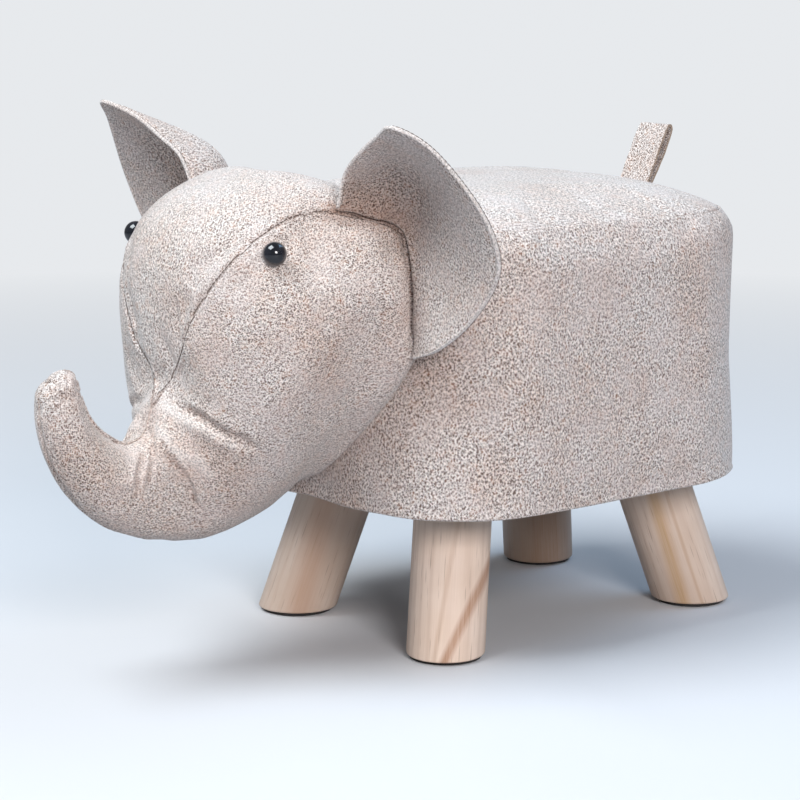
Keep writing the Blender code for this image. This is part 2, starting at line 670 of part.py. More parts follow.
def panel_shell(form, panel):
    """One sewn panel of the head: its patch of the form, as a sheet of fabric turned inwards."""
    mesh = form.copy()
    inward = mesh.verts.layers.float_vector.new("inward")
    mesh.normal_update()
    for vert in mesh.verts:
        vert[inward] = -vert.normal
    others = [face for face in mesh.faces if face.material_index != panel]
    bmesh.ops.delete(mesh, geom=others, context="FACES")
    edge_verts = [vert for vert in mesh.verts if vert.is_boundary]
    shifts = []
    for vert in edge_verts:
        inner = [edge.other_vert(vert).co for edge in vert.link_edges if not edge.is_boundary]
        towards = (sum(inner, Vector()) / len(inner) - vert.co) if inner else Vector()
        shifts.append(towards.normalized() * SEAM_OPEN / 2)
    for vert, shift in zip(edge_verts, shifts):
        vert.co += shift
    grown = bmesh.ops.extrude_face_region(mesh, geom=mesh.faces[:])["geom"]
    for item in grown:
        if isinstance(item, bmesh.types.BMVert):
            item.co += item[inward] * FABRIC
    for face in mesh.faces:
        face.material_index = 0
    bmesh.ops.recalc_face_normals(mesh, faces=mesh.faces)
    return mesh


def make_head():
    """Stuffing, forehead panel and side panels, fitted to the seat's front."""
    form = head_form()
    sunk = moved_along_normals(form, -LINING - GAP)
    sunk_places = [vert.co.copy() for vert in sunk.verts]
    sunk.free()
    finder = KDTree(len(form.verts))
    for index, vert in enumerate(form.verts):
        finder.insert(vert.co, index)
    finder.balance()
    rings = [[sunk_places[finder.find(point)[1]] for point in head_ring(row)] for row in head_section_shares]

    root = trunk_root_section
    middles = [sum(ring, Vector()) / len(ring) for ring in rings]
    onward = (middles[root + 1] - middles[root]).normalized() * GAP
    head_core = join_rings(rings[:root + 1] + [[middles[root]] * len(rings[root])], split=True)
    trunk_start = [[middles[root] + onward] * len(rings[root]), [point + onward for point in rings[root]]]
    trunk_core = join_rings(trunk_start + rings[root + 1:] + [[middles[-1]] * len(rings[-1])], split=True)
    for core in (head_core, trunk_core):
        bmesh.ops.remove_doubles(core, verts=core.verts, dist=WELD)
        bmesh.ops.recalc_face_normals(core, faces=core.faces)

    body_rings = [plan_ring(-GAP, BODY_BOTTOM - OVERRUN)]
    body_rings += [plan_ring(inset, height) for inset, height in side_outline(-GAP)]
    body_rings += [crown_ring(share, -GAP) for share in crown_shares]
    body_cutter = add_cutter("body_outside", join_rings(body_rings))

    stuffing = add_part("head_stuffing", head_core, "wadding")
    cut(stuffing, [body_cutter])
    add_part("trunk_stuffing", trunk_core, "wadding")
    names = ("forehead_panel", "head_panel_left", "head_panel_right")
    panels = [add_part(name, panel_shell(form, index), "fabric") for index, name in enumerate(names)]
    for panel in panels:
        cut(panel, [body_cutter])
    make_eyes(form, stuffing, panels)
    return form


def make_eyes(form, stuffing, panels):
    """Ball eyes on shanks through the fabric, each locked by a washer behind it."""
    tree = BVHTree.FromBMesh(form)
    for side, sign, panel in (("left", 1, panels[1]), ("right", -1, panels[2])):
        share_x, share_reach, share_height = eye_place_shares
        seat, outward, _, _ = tree.find_nearest(head_point(sign * share_x, share_reach, share_height))
        turn = outward.to_track_quat("Z", "Y").to_matrix().to_4x4()
        stance = Matrix.Translation(seat) @ turn
        ball_height = EYE_STAND
        rim = math.sqrt(EYE_RADIUS ** 2 - (ball_height - GAP * 2) ** 2)
        start = math.acos((ball_height - GAP * 2) / EYE_RADIUS)
        arc = [(EYE_RADIUS * math.sin(step), ball_height + EYE_RADIUS * math.cos(step))
               for step in [(math.pi - start) * index / BALL_STEPS for index in range(BALL_STEPS)]]
        eye_outline = arc + [
            (rim, GAP * 2), (SHANK_RADIUS, GAP * 2),
            (SHANK_RADIUS, -SHANK_LENGTH), (0, -SHANK_LENGTH),
        ]
        washer_top = -WASHER_SINK
        washer_low = washer_top - WASHER_SHEET
        hole = SHANK_RADIUS + GAP
        pocket = WASHER_RADIUS + GAP
        outlines = [
            ("eye_" + side, eye_outline, "eye", False),
            ("eye_washer_" + side, [(hole, washer_top), (WASHER_RADIUS, washer_top),
                                    (WASHER_RADIUS, washer_low), (hole, washer_low)], "washer", True),
            ("eye_hole_" + side, [(0, OVERRUN), (hole, OVERRUN), (hole, -OVERRUN), (0, -OVERRUN)], None, False),
            ("washer_pocket_" + side, [(0, OVERRUN), (pocket, OVERRUN), (pocket, washer_low - GAP),
                                       (hole, washer_low - GAP), (hole, -SHANK_LENGTH - GAP),
                                       (0, -SHANK_LENGTH - GAP)], None, False),
        ]
        made = []
        for name, outline, finish, closed in outlines:
            piece = turned(name, outline, finish, Vector(), BALL_SIDES, closed)
            piece.location = stance.to_translation()
            piece.rotation_euler = stance.to_euler()
            made.append(piece)
        cut(panel, [made[2]])
        cut(stuffing, [made[3]])


def ear_grid(form, sign):
    """Middle surface of one ear: rows from its root on the head to its free edge, cupped forward."""
    tree = BVHTree.FromBMesh(form)
    grid = []
    last = len(ear_outline_shares) - 1
    for row, (root_shares, edge_shares, cup_share) in enumerate(ear_outline_shares):
        seat, outward, _, _ = tree.find_nearest(head_point(*root_shares))
        if row < ear_bend_row:
            lift = EAR_CLEARANCE + EAR_FLAP_LIFT * (1 - row / ear_bend_row)
        else:
            lift = EAR_CLEARANCE + EAR_ROOT_LIFT * math.sin(math.pi * (row - ear_bend_row) / (last - ear_bend_row))
        root = seat + outward * lift
        edge = head_point(*edge_shares)
        if row in (0, last):
            edge = root + outward * EAR_END_WIDTH
        line = []
        for step in range(EAR_STEPS + 1):
            share = step / EAR_STEPS
            bow = math.sin(math.pi * share ** 0.45) * cup_share * EAR_CUP
            point = root.lerp(edge, share) + ear_bow * bow
            line.append(Vector((sign * point.x, point.y, point.z)))
        grid.append(line)
    return grid


def ear_panel(grid, near, far):
    """A sheet that lies from near to far in front of the ear's middle surface."""
    mesh = bmesh.new()
    verts = [[mesh.verts.new(point) for point in line] for line in grid]
    for here, there in zip(verts, verts[1:]):
        for step in range(EAR_STEPS):
            mesh.faces.new((here[step], here[step + 1], there[step + 1], there[step]))
    mesh.normal_update()
    if sum(face.normal.y for face in mesh.faces) > 0:
        bmesh.ops.reverse_faces(mesh, faces=mesh.faces)
        mesh.normal_update()
    outward = mesh.verts.layers.float_vector.new("outward")
    for vert in mesh.verts:
        vert[outward] = vert.normal
    base = mesh.verts[:]
    grown = bmesh.ops.extrude_face_region(mesh, geom=mesh.faces[:])["geom"]
    for vert in base:
        vert.co += vert[outward] * near
    for item in grown:
        if isinstance(item, bmesh.types.BMVert):
            item.co += item[outward] * far
    bmesh.ops.recalc_face_normals(mesh, faces=mesh.faces)
    return mesh


def make_ears(form):
    """Two ears, each of two panels, on pivots along the seams at the back of the head."""
    for side, sign in (("left", 1), ("right", -1)):
        grid = ear_grid(form, sign)
        pivot = bpy.data.objects.new("ear_pivot_" + side, None)
        pivot.location = grid[ear_bend_row][0]
        pivot.parent = seat_centre
        parts.objects.link(pivot)
        for name, near, far in (("inner", GAP / 2, EAR_PANEL), ("outer", -EAR_PANEL, -GAP / 2)):
            add_part("ear_%s_%s" % (name, side), ear_panel(grid, near, far), "fabric", pivot)


def make_tail():
    """A strap folded into a loop, standing on the rear seam."""
    seam = Vector((0, BODY_LENGTH / 2 - SEAM_INSET, SEAM_HEIGHT + GAP * 2))
    mesh = bmesh.new()
    left = []
    right = []
    for reach, height in tail_outline_shares:
        point = seam + Vector((0, reach * TAIL_REACH, height * TAIL_HEIGHT))
        left.append(mesh.verts.new(point + Vector((TAIL_WIDTH / 2, 0, 0))))
        right.append(mesh.verts.new(point - Vector((TAIL_WIDTH / 2, 0, 0))))
    for i in range(len(left) - 1):
        mesh.faces.new((left[i], left[i + 1], right[i + 1], right[i]))
    pivot = bpy.data.objects.new("tail_pivot", None)
    pivot.location = seam
    pivot.parent = seat_centre
    parts.objects.link(pivot)
    strap = add_part("tail_loop", mesh, "fabric", pivot)
    solidify = strap.modifiers.new("strap", "SOLIDIFY")
    solidify.thickness = TAIL_STRAP
    solidify.offset = -1
    solidify.use_even_offset = True


board = make_frame()
openings = make_legs(board)
make_seat(board, openings)
skull = make_head()
make_ears(skull)
make_tail()
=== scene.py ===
import math

import bmesh
import bpy
from mathutils import Matrix, Vector, noise
from mathutils.bvhtree import BVHTree
from mathutils.kdtree import KDTree


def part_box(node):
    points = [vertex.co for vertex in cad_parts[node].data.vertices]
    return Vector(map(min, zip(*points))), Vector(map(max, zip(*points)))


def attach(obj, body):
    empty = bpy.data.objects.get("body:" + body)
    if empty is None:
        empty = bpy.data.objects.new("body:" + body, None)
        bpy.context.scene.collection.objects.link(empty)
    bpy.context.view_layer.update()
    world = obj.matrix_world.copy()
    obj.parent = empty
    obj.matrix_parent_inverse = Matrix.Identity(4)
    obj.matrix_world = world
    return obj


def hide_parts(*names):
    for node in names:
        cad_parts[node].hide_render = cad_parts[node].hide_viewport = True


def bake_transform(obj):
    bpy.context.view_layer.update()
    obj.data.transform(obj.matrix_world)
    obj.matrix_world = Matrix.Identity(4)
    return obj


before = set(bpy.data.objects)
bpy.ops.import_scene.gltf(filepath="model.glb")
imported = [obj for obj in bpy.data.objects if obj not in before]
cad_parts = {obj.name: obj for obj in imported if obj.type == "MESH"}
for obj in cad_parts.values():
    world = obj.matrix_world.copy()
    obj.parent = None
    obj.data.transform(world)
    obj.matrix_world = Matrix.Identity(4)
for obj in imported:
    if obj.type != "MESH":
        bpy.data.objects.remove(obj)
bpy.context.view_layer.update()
mm = 0.001
scene = bpy.context.scene
print("frame loaded:", len(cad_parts), "nodes")

# camera, where the photograph was taken from

view = {"place": (1.17621, -0.96223, 0.41714), "target": (-0.09312, 0.0965, 0.11626), "lens": 117.0, "sensor": 36}


def aimed(item, place, target):
    item.location = place
    item.rotation_euler = (Vector(target) - Vector(place)).to_track_quat("-Z", "Y").to_euler()
    scene.collection.objects.link(item)
    return item


cameraData = bpy.data.cameras.new("photoView")
cameraData.lens = view["lens"]
cameraData.sensor_width = view["sensor"]
scene.camera = aimed(bpy.data.objects.new("photoView", cameraData), view["place"], view["target"])
scene.view_settings.view_transform = "Standard"


# shader maths

class Flow:
    # one socket, so that a sum or a product of sockets reads as plain arithmetic
    def __init__(self, tree, socket):
        self.tree = tree
        self.socket = socket

    def maths(self, operation, *values):
        return addNode(self.tree, "ShaderNodeMath", {"operation": operation}, slots=dict(enumerate(values)))

    def __add__(self, other):
        return self.maths("ADD", self, other)

    def __radd__(self, other):
        return self.maths("ADD", other, self)

    def __sub__(self, other):
        return self.maths("SUBTRACT", self, other)

    def __rsub__(self, other):
        return self.maths("SUBTRACT", other, self)

    def __mul__(self, other):
        return self.maths("MULTIPLY", self, other)

    def __rmul__(self, other):
        return self.maths("MULTIPLY", other, self)

    def __truediv__(self, other):
        return self.maths("DIVIDE", self, other)

    def __pow__(self, other):
        return self.maths("POWER", self, other)

    def clamped(self):
        return self.maths("MINIMUM", self.maths("MAXIMUM", self, 0.0), 1.0)

    def sine(self):
        return self.maths("SINE", self)

    def size(self):
        return self.maths("ABSOLUTE", self)


def addNode(tree, kind, settings=None, outlet=0, slots=None, **inputs):
    # every node is made here: slots gives inputs by number, the rest by name
    node = tree.nodes.new(kind)
    for key, value in (settings or {}).items():
        setattr(node, key, value)
    fed = [(node.inputs[slot], value) for slot, value in (slots or {}).items()]
    for key, value in inputs.items():
        name = key.replace("_", " ").lower()
        fed.append((next(item for item in node.inputs if item.enabled and item.name.lower() == name), value))
    for socket, value in fed:
        if isinstance(value, Flow):
            tree.links.new(value.socket, socket)
        else:
            socket.default_value = (*value, 1.0) if socket.type == "RGBA" else value
    return Flow(tree, node.outputs[outlet])


class Finish:
    # a material under construction
    def __init__(self, name, **constants):
        self.material = bpy.data.materials.new(name)
        self.material.use_nodes = True
        self.tree = self.material.node_tree
        self.shader = self.tree.nodes["Principled BSDF"]
        for socket, value in constants.items():
            self.shader.inputs[socket.replace("_", " ")].default_value = value
        self.object = self.node("ShaderNodeTexCoord", outlet="Object")

    def node(self, kind, settings=None, outlet=0, slots=None, **inputs):
        return addNode(self.tree, kind, settings, outlet, slots, **inputs)

    def mix(self, share, first, second, blend="MIX"):
        return self.node("ShaderNodeMix", {"data_type": "RGBA", "blend_type": blend}, 2,
                         {0: share, 6: first, 7: second})

    def parts(self, vector):
        split = self.node("ShaderNodeSeparateXYZ", Vector=vector).socket.node
        return [Flow(self.tree, outlet) for outlet in split.outputs]

    def moved(self, vector, scale=(1, 1, 1), turn=(0, 0, 0), place=(0, 0, 0)):
        return self.node("ShaderNodeMapping", Vector=vector, Scale=scale, Rotation=turn, Location=place)

    def noise(self, vector, scale, detail=2.0, roughness=0.5, outlet="Fac"):
        # three scales draw the noise out
        if isinstance(scale, tuple):
            vector, scale = self.moved(vector, scale), 1.0
        return self.node("ShaderNodeTexNoise", outlet=outlet, Vector=vector, Scale=scale, Detail=detail,
                         Roughness=roughness)

    def ramp(self, value, low, high):
        return self.node("ShaderNodeMapRange", Value=value, From_Min=low, From_Max=high)

    def stained(self, colour, source, low, high, share, tint, blend="MIX"):
        # the tint comes in as the source rises from low to high
        return self.mix(self.ramp(source, low, high) * share, colour, tint, blend)

    def wear(self, colour, roughness=None, height=None, depth=0.5 * mm, strength=0.5):
        ends = {"Base Color": colour, "Roughness": roughness}
        if height is not None:
            ends["Normal"] = self.node("ShaderNodeBump", outlet="Normal", Strength=strength, Distance=depth,
                                       Height=height)
        for name, flow in ends.items():
            if flow is not None:
                self.tree.links.new(flow.socket, self.shader.inputs[name])
        return self.material


def times(colour, share):
    return [c * share for c in colour]


# the cloth: a suede-like weave, brown flecks in a pale, crinkled net, with rubbed patches

cloth = {
    "pale": (0.955, 0.875, 0.835), "warm": (0.89, 0.765, 0.695), "net": (1.0, 0.985, 0.975),
    "rubbed": (0.70, 0.595, 0.575), "stain": (0.50, 0.385, 0.32), "cloud": (0.86, 0.72, 0.64),
    # the last colour on the next line and the first on the one after: brown for painted shade and pale for painted
    # highlight, mixed in by the tint attribute
    "fleck": (0.090, 0.036, 0.017), "rust": (0.28, 0.13, 0.065), "shadeBrown": (0.52, 0.40, 0.34),
    "highlightPale": (1.0, 0.965, 0.95), "strandPitch": 1.0 * mm, "drift": 1.0 * mm, "relief": 0.5 * mm,
}


def makeCloth(name, turn=45, shade=1.0, patchy=1.0, pitch=1.2 * mm):
    finish = Finish(name, Roughness=0.8, Sheen_Weight=0.3, Sheen_Roughness=0.5, Sheen_Tint=(0.95, 0.99, 1.0, 1.0))
    flat = finish.node("ShaderNodeUVMap", {"uv_map": "cloth"}, outlet="UV")
    wander = finish.noise(flat, 200.0, outlet="Color")
    drift = finish.node("ShaderNodeVectorMath", {"operation": "SCALE"}, Vector=wander, Scale=cloth["drift"])
    laid = finish.node("ShaderNodeVectorMath", {"operation": "ADD"}, slots={0: flat, 1: drift})

    def leant(lean, scale=(1, 1, 1)):
        return finish.moved(laid, scale, (0, 0, math.radians(lean)))

    def dots(size, lean, near, far):
        spots = finish.node("ShaderNodeTexVoronoi", {"voronoi_dimensions": "2D", "feature": "F1"}, "Distance",
                            Vector=leant(lean, (1 / size, 0.85 / size, 1)), Scale=1.0, Randomness=1.0)
        return 1 - finish.ramp(spots, near, far)

    spot = dots(pitch, turn, 0.24, 0.50)
    grain = dots(pitch * 0.68, turn - 70, 0.25, 0.60)
    clump = finish.ramp(finish.noise(flat, 420.0, 2.0, 0.6), 0.36, 0.54)
    flecks = (spot * (clump * 0.50 + 0.50)).clamped()
    strands = []
    for lean in (turn + 4, turn - 86):
        across = finish.parts(leant(lean))[0]
        wave = finish.ramp((across * (2 * math.pi / cloth["strandPitch"])).sine(), 0.45, 0.98)
        broken = finish.noise(leant(lean, (800, 260, 1)), 1.0, 1.0)
        strands.append(wave * finish.ramp(broken, 0.48, 0.58))
    strands = strands[0].maths("MAXIMUM", *strands)
    tone = finish.ramp(finish.noise(finish.object, 13.0, 4.0, 0.6), 0.36, 0.66)
    ground = finish.mix(tone, times(cloth["pale"], shade), times(cloth["warm"], shade))
    rust = finish.ramp(finish.noise(flat, 170.0, 3.0, 0.6), 0.50, 0.66)
    brown = finish.mix(rust, cloth["fleck"], cloth["rust"])
    colour = finish.mix(grain * 0.50, ground, brown)
    colour = finish.mix(flecks, colour, brown)
    colour = finish.mix(strands * 0.85, colour, times(cloth["net"], shade))
    patch = finish.ramp(finish.noise(finish.object, 45.0, 4.0, 0.6), 0.36, 0.54)
    soft = finish.stained(times(cloth["rubbed"], shade), finish.noise(finish.object, 170.0, 3.0), 0.5, 0.72, 0.35,
                          cloth["stain"])
    colour = finish.mix((1 - patch) * (0.30 * patchy), colour, soft)
    # wide brown clouds
    colour = finish.stained(colour, finish.noise(finish.object, 24.0, 5.0, 0.68), 0.46, 0.64, 0.42, cloth["cloud"],
                            "MULTIPLY")
    # the piece's tint attribute, painted light and shade: above 0 browner for painted shade, below 0 paler for painted
    # highlight
    tint = finish.node("ShaderNodeAttribute", {"attribute_name": "tint"}, outlet="Fac")
    colour = finish.mix((tint * 0.75).clamped(), colour, cloth["shadeBrown"], blend="MULTIPLY")
    colour = finish.mix((tint * -0.55).clamped(), colour, cloth["highlightPale"])
    return finish.wear(colour, None, (1 - spot) * 0.5 + strands * 0.5, depth=cloth["relief"], strength=0.6)


def makeThread(name, colour):
    finish = Finish(name, Roughness=0.7, Sheen_Weight=0.2)
    twist = finish.node("ShaderNodeTexWave", {"wave_type": "BANDS", "bands_direction": "DIAGONAL"},
                        Vector=finish.object, Scale=900.0, Distortion=1.5)
    lint = finish.noise(finish.object, 700.0)
    return finish.wear(finish.stained(colour, lint, 0.2, 0.8, 0.5, [c * 1.6 + 0.02 for c in colour]),
                       None, twist, depth=0.1 * mm, strength=0.4)


pine = {
    "pale": (0.88, 0.715, 0.605), "deep": (0.79, 0.615, 0.50), "late": (0.64, 0.45, 0.34), "fibre": (0.60, 0.43, 0.30),
    "dash": (0.33, 0.19, 0.11), "knot": (0.36, 0.18, 0.10), "knotHeart": (0.16, 0.07, 0.04),
    "heartX": 45 * mm, "heartY": 20 * mm, "bend": 12 * mm, "rings": 1500.0, "turnAway": 8 * mm, "knotWobble": 6 * mm,
}


def makePine(name, axis, foot, streaks, knots, tone):
    # grain runs along the leg: the rings of a trunk whose heart lies outside the leg
    finish = Finish(name, Roughness=0.5, Coat_Weight=0.06, Coat_Roughness=0.4)
    turn = Vector(axis).normalized().rotation_difference(Vector((0, 0, 1)))
    along = finish.moved(finish.object, turn=turn.to_euler(), place=-(turn @ Vector(foot)))
    x, y, z = finish.parts(along)
    bend = (finish.noise(along, (30, 30, 5)) - 0.5) * pine["bend"]
    heart = ((x + pine["heartX"] + bend) ** 2.0 + (y - pine["heartY"] + bend) ** 2.0) ** 0.5
    late = finish.ramp((heart * pine["rings"]).sine() * 0.5 + 0.5, 0.55, 1.0)
    fibre = finish.noise(along, (1400, 1400, 22), 3.0, 0.6)
    dash = finish.noise(along, (900, 900, 45), 1.0)
    cloud = finish.noise(along, 28.0, 3.0)
    colour = finish.mix(finish.ramp(cloud, 0.3, 0.7), times(pine["pale"], tone), times(pine["deep"], tone))
    colour = finish.mix(late * 0.30, colour, pine["late"])
    colour = finish.stained(colour, fibre, 0.35, 0.75, 0.22, pine["fibre"])
    colour = finish.stained(colour, dash, 0.66, 0.74, 0.45, pine["dash"])
    for angle, lean, width, tint, share in streaks:
        # a darker streak at one side of the leg, drifting sideways on its way up
        facing = finish.ramp(x * math.cos(angle) + y * math.sin(angle), 0.0, pine["turnAway"])
        off = x * -math.sin(angle) + y * math.cos(angle) - z * lean + bend * 0.35
        band = 1 - finish.ramp(off.size(), width * 0.25, width)
        grain = finish.ramp(fibre, 0.2, 0.8) * 0.5 + 0.5
        colour = finish.mix((band * facing * grain * share).clamped(), colour, tint)
    for place, radius in knots:
        away = finish.node("ShaderNodeVectorMath", {"operation": "DISTANCE"}, "Value", {0: finish.object, 1: place})
        wobble = away + (cloud - 0.5) * pine["knotWobble"]
        for inner, outer, share, tint in ((0.8, 1.5, 0.85, pine["knot"]), (0.2, 0.8, 0.6, pine["knotHeart"])):
            ring = 1 - finish.ramp(wobble, radius * inner, radius * outer)
            colour = finish.mix(ring * share, colour, tint)
    return finish.wear(colour, finish.ramp(fibre, 0.0, 1.0) * 0.15 + 0.42, fibre * 0.5 + late * 0.2,
                       depth=0.2 * mm, strength=0.35)


def makeBoard(name, pale, dark, layers=0.0, grain=(60, 900, 900)):
    finish = Finish(name, Roughness=0.7)
    fibre = finish.noise(finish.object, grain, 4.0)
    colour = finish.mix(finish.ramp(fibre, 0.3, 0.72), pale, dark)
    colour = finish.stained(colour, finish.noise(finish.object, 25.0, 3.0), 0.35, 0.75, 0.35, times(dark, 0.75))
    height = fibre
    if layers:
        z = finish.parts(finish.object)[2]
        ply = finish.ramp((z * (2 * math.pi / layers)).sine(), -0.15, 0.15)
        colour = finish.mix(ply * 0.3, colour, times(dark, 0.6))
        height = fibre * 0.6 + ply * 0.4
    return finish.wear(colour, None, height, depth=0.3 * mm, strength=0.5)


def makeSteel(name):
    finish = Finish(name, Metallic=1.0)
    brushed = finish.noise(finish.object, (400, 400, 2500), 3.0)
    spangle = finish.ramp(finish.noise(finish.object, 500.0), 0.35, 0.65)
    colour = finish.mix(spangle, (0.58, 0.58, 0.60), (0.72, 0.71, 0.70))
    return finish.wear(colour, brushed * 0.25 + 0.25, brushed, depth=0.05 * mm, strength=0.4)


def makeFelt(name, colour, lift):
    finish = Finish(name, Roughness=0.95, Sheen_Weight=0.15)
    fluff = finish.noise(finish.object, 900.0, 4.0, 0.7)
    mixed = finish.mix(finish.ramp(fluff, 0.3, 0.75), colour, lift)
    tufts = finish.noise(finish.object, 160.0, 3.0)
    return finish.wear(finish.stained(mixed, tufts, 0.4, 0.7, 0.4, times(colour, 0.5)),
                       None, fluff, depth=0.4 * mm, strength=0.7)


def makeDustCloth(name):
    # spun cloth: pressed points in a diamond pattern between loose fibres
    finish = Finish(name, Roughness=0.85, Sheen_Weight=0.1)
    diamonds = finish.moved(finish.object, (700, 700, 700), (0, 0, math.radians(45)))
    points = finish.node("ShaderNodeTexVoronoi", {"feature": "F1"}, "Distance", Vector=diamonds, Scale=1.0,
                         Randomness=0.15)
    fibres = finish.noise(finish.object, 1300.0, 3.0, 0.7)
    colour = finish.mix(finish.ramp(fibres, 0.35, 0.7), (0.012, 0.012, 0.014), (0.045, 0.044, 0.048))
    height = finish.ramp(points, 0.1, 0.5) * 0.7 + fibres * 0.3
    return finish.wear(colour, None, height, depth=0.2 * mm, strength=0.6)


def makeEyeBlack(name):
    finish = Finish(name, Coat_Weight=0.6, Coat_Roughness=0.03)
    scuff = finish.noise(finish.object, 800.0, 4.0, 0.6)
    haze = finish.ramp(finish.noise(finish.object, 150.0, 3.0), 0.35, 0.7)
    colour = finish.mix(haze, (0.006, 0.007, 0.011), (0.014, 0.016, 0.024))
    return finish.wear(colour, finish.ramp(scuff, 0.4, 0.9) * 0.08 + 0.10, scuff, depth=0.02 * mm, strength=0.2)


print("materials ready")


# small sums

def clamp(value):
    return min(1.0, max(0.0, value))


def bell(away, width):
    return math.exp(-(away / width) ** 2)


def uneven(place, scale, height, shift=(0, 0, 0)):
    return noise.noise(place * scale + Vector(shift)) * height


# lines

def blendRows(rows, t):
    # a smooth path through the rows of a table
    i = max(0, min(int(t), len(rows) - 2))
    f = t - i
    before, here, there, after = rows[max(i - 1, 0)], rows[i], rows[i + 1], rows[min(i + 2, len(rows) - 1)]
    return [0.5 * (2 * b + (c - a) * f + (2 * a - 5 * b + 4 * c - d) * f * f + (3 * b - a - 3 * c + d) * f ** 3)
            for a, b, c, d in zip(before, here, there, after)]


def blendPath(points, t):
    return Vector(blendRows([tuple(p) for p in points], t))


def smoothPath(points, parts):
    # the smooth path as a polyline, each span in so many parts
    return [blendPath(points, i / parts) for i in range(parts * (len(points) - 1) + 1)]


def resampled(points, shares):
    # points at given shares of a polyline's length
    sums = [0.0]
    for a, b in zip(points, points[1:]):
        sums.append(sums[-1] + (b - a).length)
    placed, i = [], 0
    for share in shares:
        want = share * sums[-1]
        while i < len(points) - 2 and sums[i + 1] < want:
            i += 1
        span = max(sums[i + 1] - sums[i], 1e-12)
        placed.append(points[i].lerp(points[i + 1], clamp((want - sums[i]) / span)))
    return placed


def lengthOf(points):
    return sum((b - a).length for a, b in zip(points, points[1:]))


def evenSteps(points, pitch):
    # points at an even pitch along a polyline
    count = max(1, round(lengthOf(points) / pitch))
    return resampled(points, [step / count for step in range(count + 1)])


def mirrored(points):
    return [Vector((-p.x, p.y, p.z)) for p in points]


# meshes

def ringLoft(rings, closed=False):
    # a circle, extruded row after row; each point is set by its column. Closed joins the last row to
    # the first, otherwise both ends are capped
    bm = bmesh.new()
    column = bm.verts.layers.int.new("column")
    row = bm.verts.layers.int.new("row")
    start = bmesh.ops.create_circle(bm, cap_ends=False, radius=1.0, segments=len(rings[0]))["verts"]
    for i, vert in enumerate(start):
        vert[column] = i
        vert.co = rings[0][i]
    first = last = bm.edges[:]
    for r, ring in enumerate(rings[1:], 1):
        grown = bmesh.ops.extrude_edge_only(bm, edges=last)["geom"]
        fresh = {item for item in grown if isinstance(item, bmesh.types.BMVert)}
        for vert in fresh:
            vert.co = ring[vert[column]]
            vert[row] = r
        last = [item for item in grown if isinstance(item, bmesh.types.BMEdge) and fresh.issuperset(item.verts)]
    if closed:
        bmesh.ops.bridge_loops(bm, edges=first + last)
        return bm, column, row
    for edges in (first, last):
        bmesh.ops.contextual_create(bm, geom=edges)
    for face in [f for f in bm.faces if len(f.verts) > 4]:
        bmesh.ops.poke(bm, faces=[face])
    return bm, column, row


def layFlat(bm, placeOf):
    # the cloth map, in metres: placeOf gives a point's place on the flat cloth, seen from one face
    layer = bm.loops.layers.uv.new("cloth")
    for face in bm.faces:
        for loop in face.loops:
            loop[layer].uv = placeOf(loop.vert, face)


def finishPiece(name, bm, materials, smooth=180, weld=0.01 * mm):
    bmesh.ops.remove_doubles(bm, verts=bm.verts, dist=weld)
    bmesh.ops.recalc_face_normals(bm, faces=bm.faces)
    mesh = bpy.data.meshes.new(name)
    bm.to_mesh(mesh)
    bm.free()
    mesh.shade_smooth()
    if smooth < 180:
        mesh.set_sharp_from_angle(angle=math.radians(smooth))
    piece = bpy.data.objects.new(name, mesh)
    scene.collection.objects.link(piece)
    for material in materials:
        mesh.materials.append(material)
    return piece


def shaped(piece, change):
    # work on a finished piece's mesh
    bm = bmesh.new()
    bm.from_mesh(piece.data)
    bm.normal_update()
    change(bm)
    bm.to_mesh(piece.data)
    bm.free()
    return piece


def unwrapped(piece):
    # lay each panel flat between its seams, with the map in metres
    for other in bpy.context.selected_objects:
        other.select_set(False)
    piece.data.uv_layers.new(name="cloth")
    bpy.context.view_layer.objects.active = piece
    piece.select_set(True)
    bpy.ops.object.mode_set(mode="EDIT")
    bpy.ops.mesh.select_all(action="SELECT")
    bpy.ops.uv.unwrap(method="MINIMUM_STRETCH", iterations=20, margin=0.001)
    bpy.ops.object.mode_set(mode="OBJECT")
    piece.select_set(False)

    def inMetres(bm):
        layer = bm.loops.layers.uv["cloth"]
        flat = 0.0
        for face in bm.faces:
            corners = [loop[layer].uv for loop in face.loops]
            flat += abs(sum(a.cross(b) for a, b in zip(corners, corners[1:] + corners[:1]))) / 2
        grow = math.sqrt(sum(face.calc_area() for face in bm.faces) / flat)
        for face in bm.faces:
            for loop in face.loops:
                loop[layer].uv = loop[layer].uv * grow

    return shaped(piece, inMetres)


stuffing = {
    "quality": 5, "mass": 0.2, "tension_stiffness": 12, "compression_stiffness": 8, "shear_stiffness": 5,
    "bending_stiffness": 0.4, "use_pressure": True, "uniform_pressure_force": 4.0, "vertex_group_mass": "sewnDown",
}


def inflated(piece, held, cap, give, frames=20):
    # cloth simulation: the cover fills out between its seams; held gives the points that are sewn down
    sewnDown = piece.vertex_groups.new(name="sewnDown")
    for index, weight in held.items():
        sewnDown.add([index], weight, "REPLACE")
    puff = piece.modifiers.new("puff", "CLOTH")
    for key, value in stuffing.items():
        setattr(puff.settings, key, value)
    puff.settings.shrink_min = -give
    puff.settings.effector_weights.gravity = 0
    puff.collision_settings.use_collision = False
    puff.point_cache.frame_start = 1
    puff.point_cache.frame_end = frames
    for step in range(1, frames + 1):
        scene.frame_set(step)
    shape = piece.evaluated_get(bpy.context.evaluated_depsgraph_get()).data
    shifts = [fresh.co - vert.co for vert, fresh in zip(piece.data.vertices, shape.vertices)]
    piece.modifiers.remove(puff)
    piece.vertex_groups.remove(sewnDown)
    scene.frame_set(1)
    for vert, shift in zip(piece.data.vertices, shifts):
        vert.co += shift * min(1.0, cap / max(shift.length, 1e-9))
    furthest = max(shift.length for shift in shifts)
    print("  ", piece.name, "filled out, furthest", round(furthest / mm, 1), "mm")
    return piece


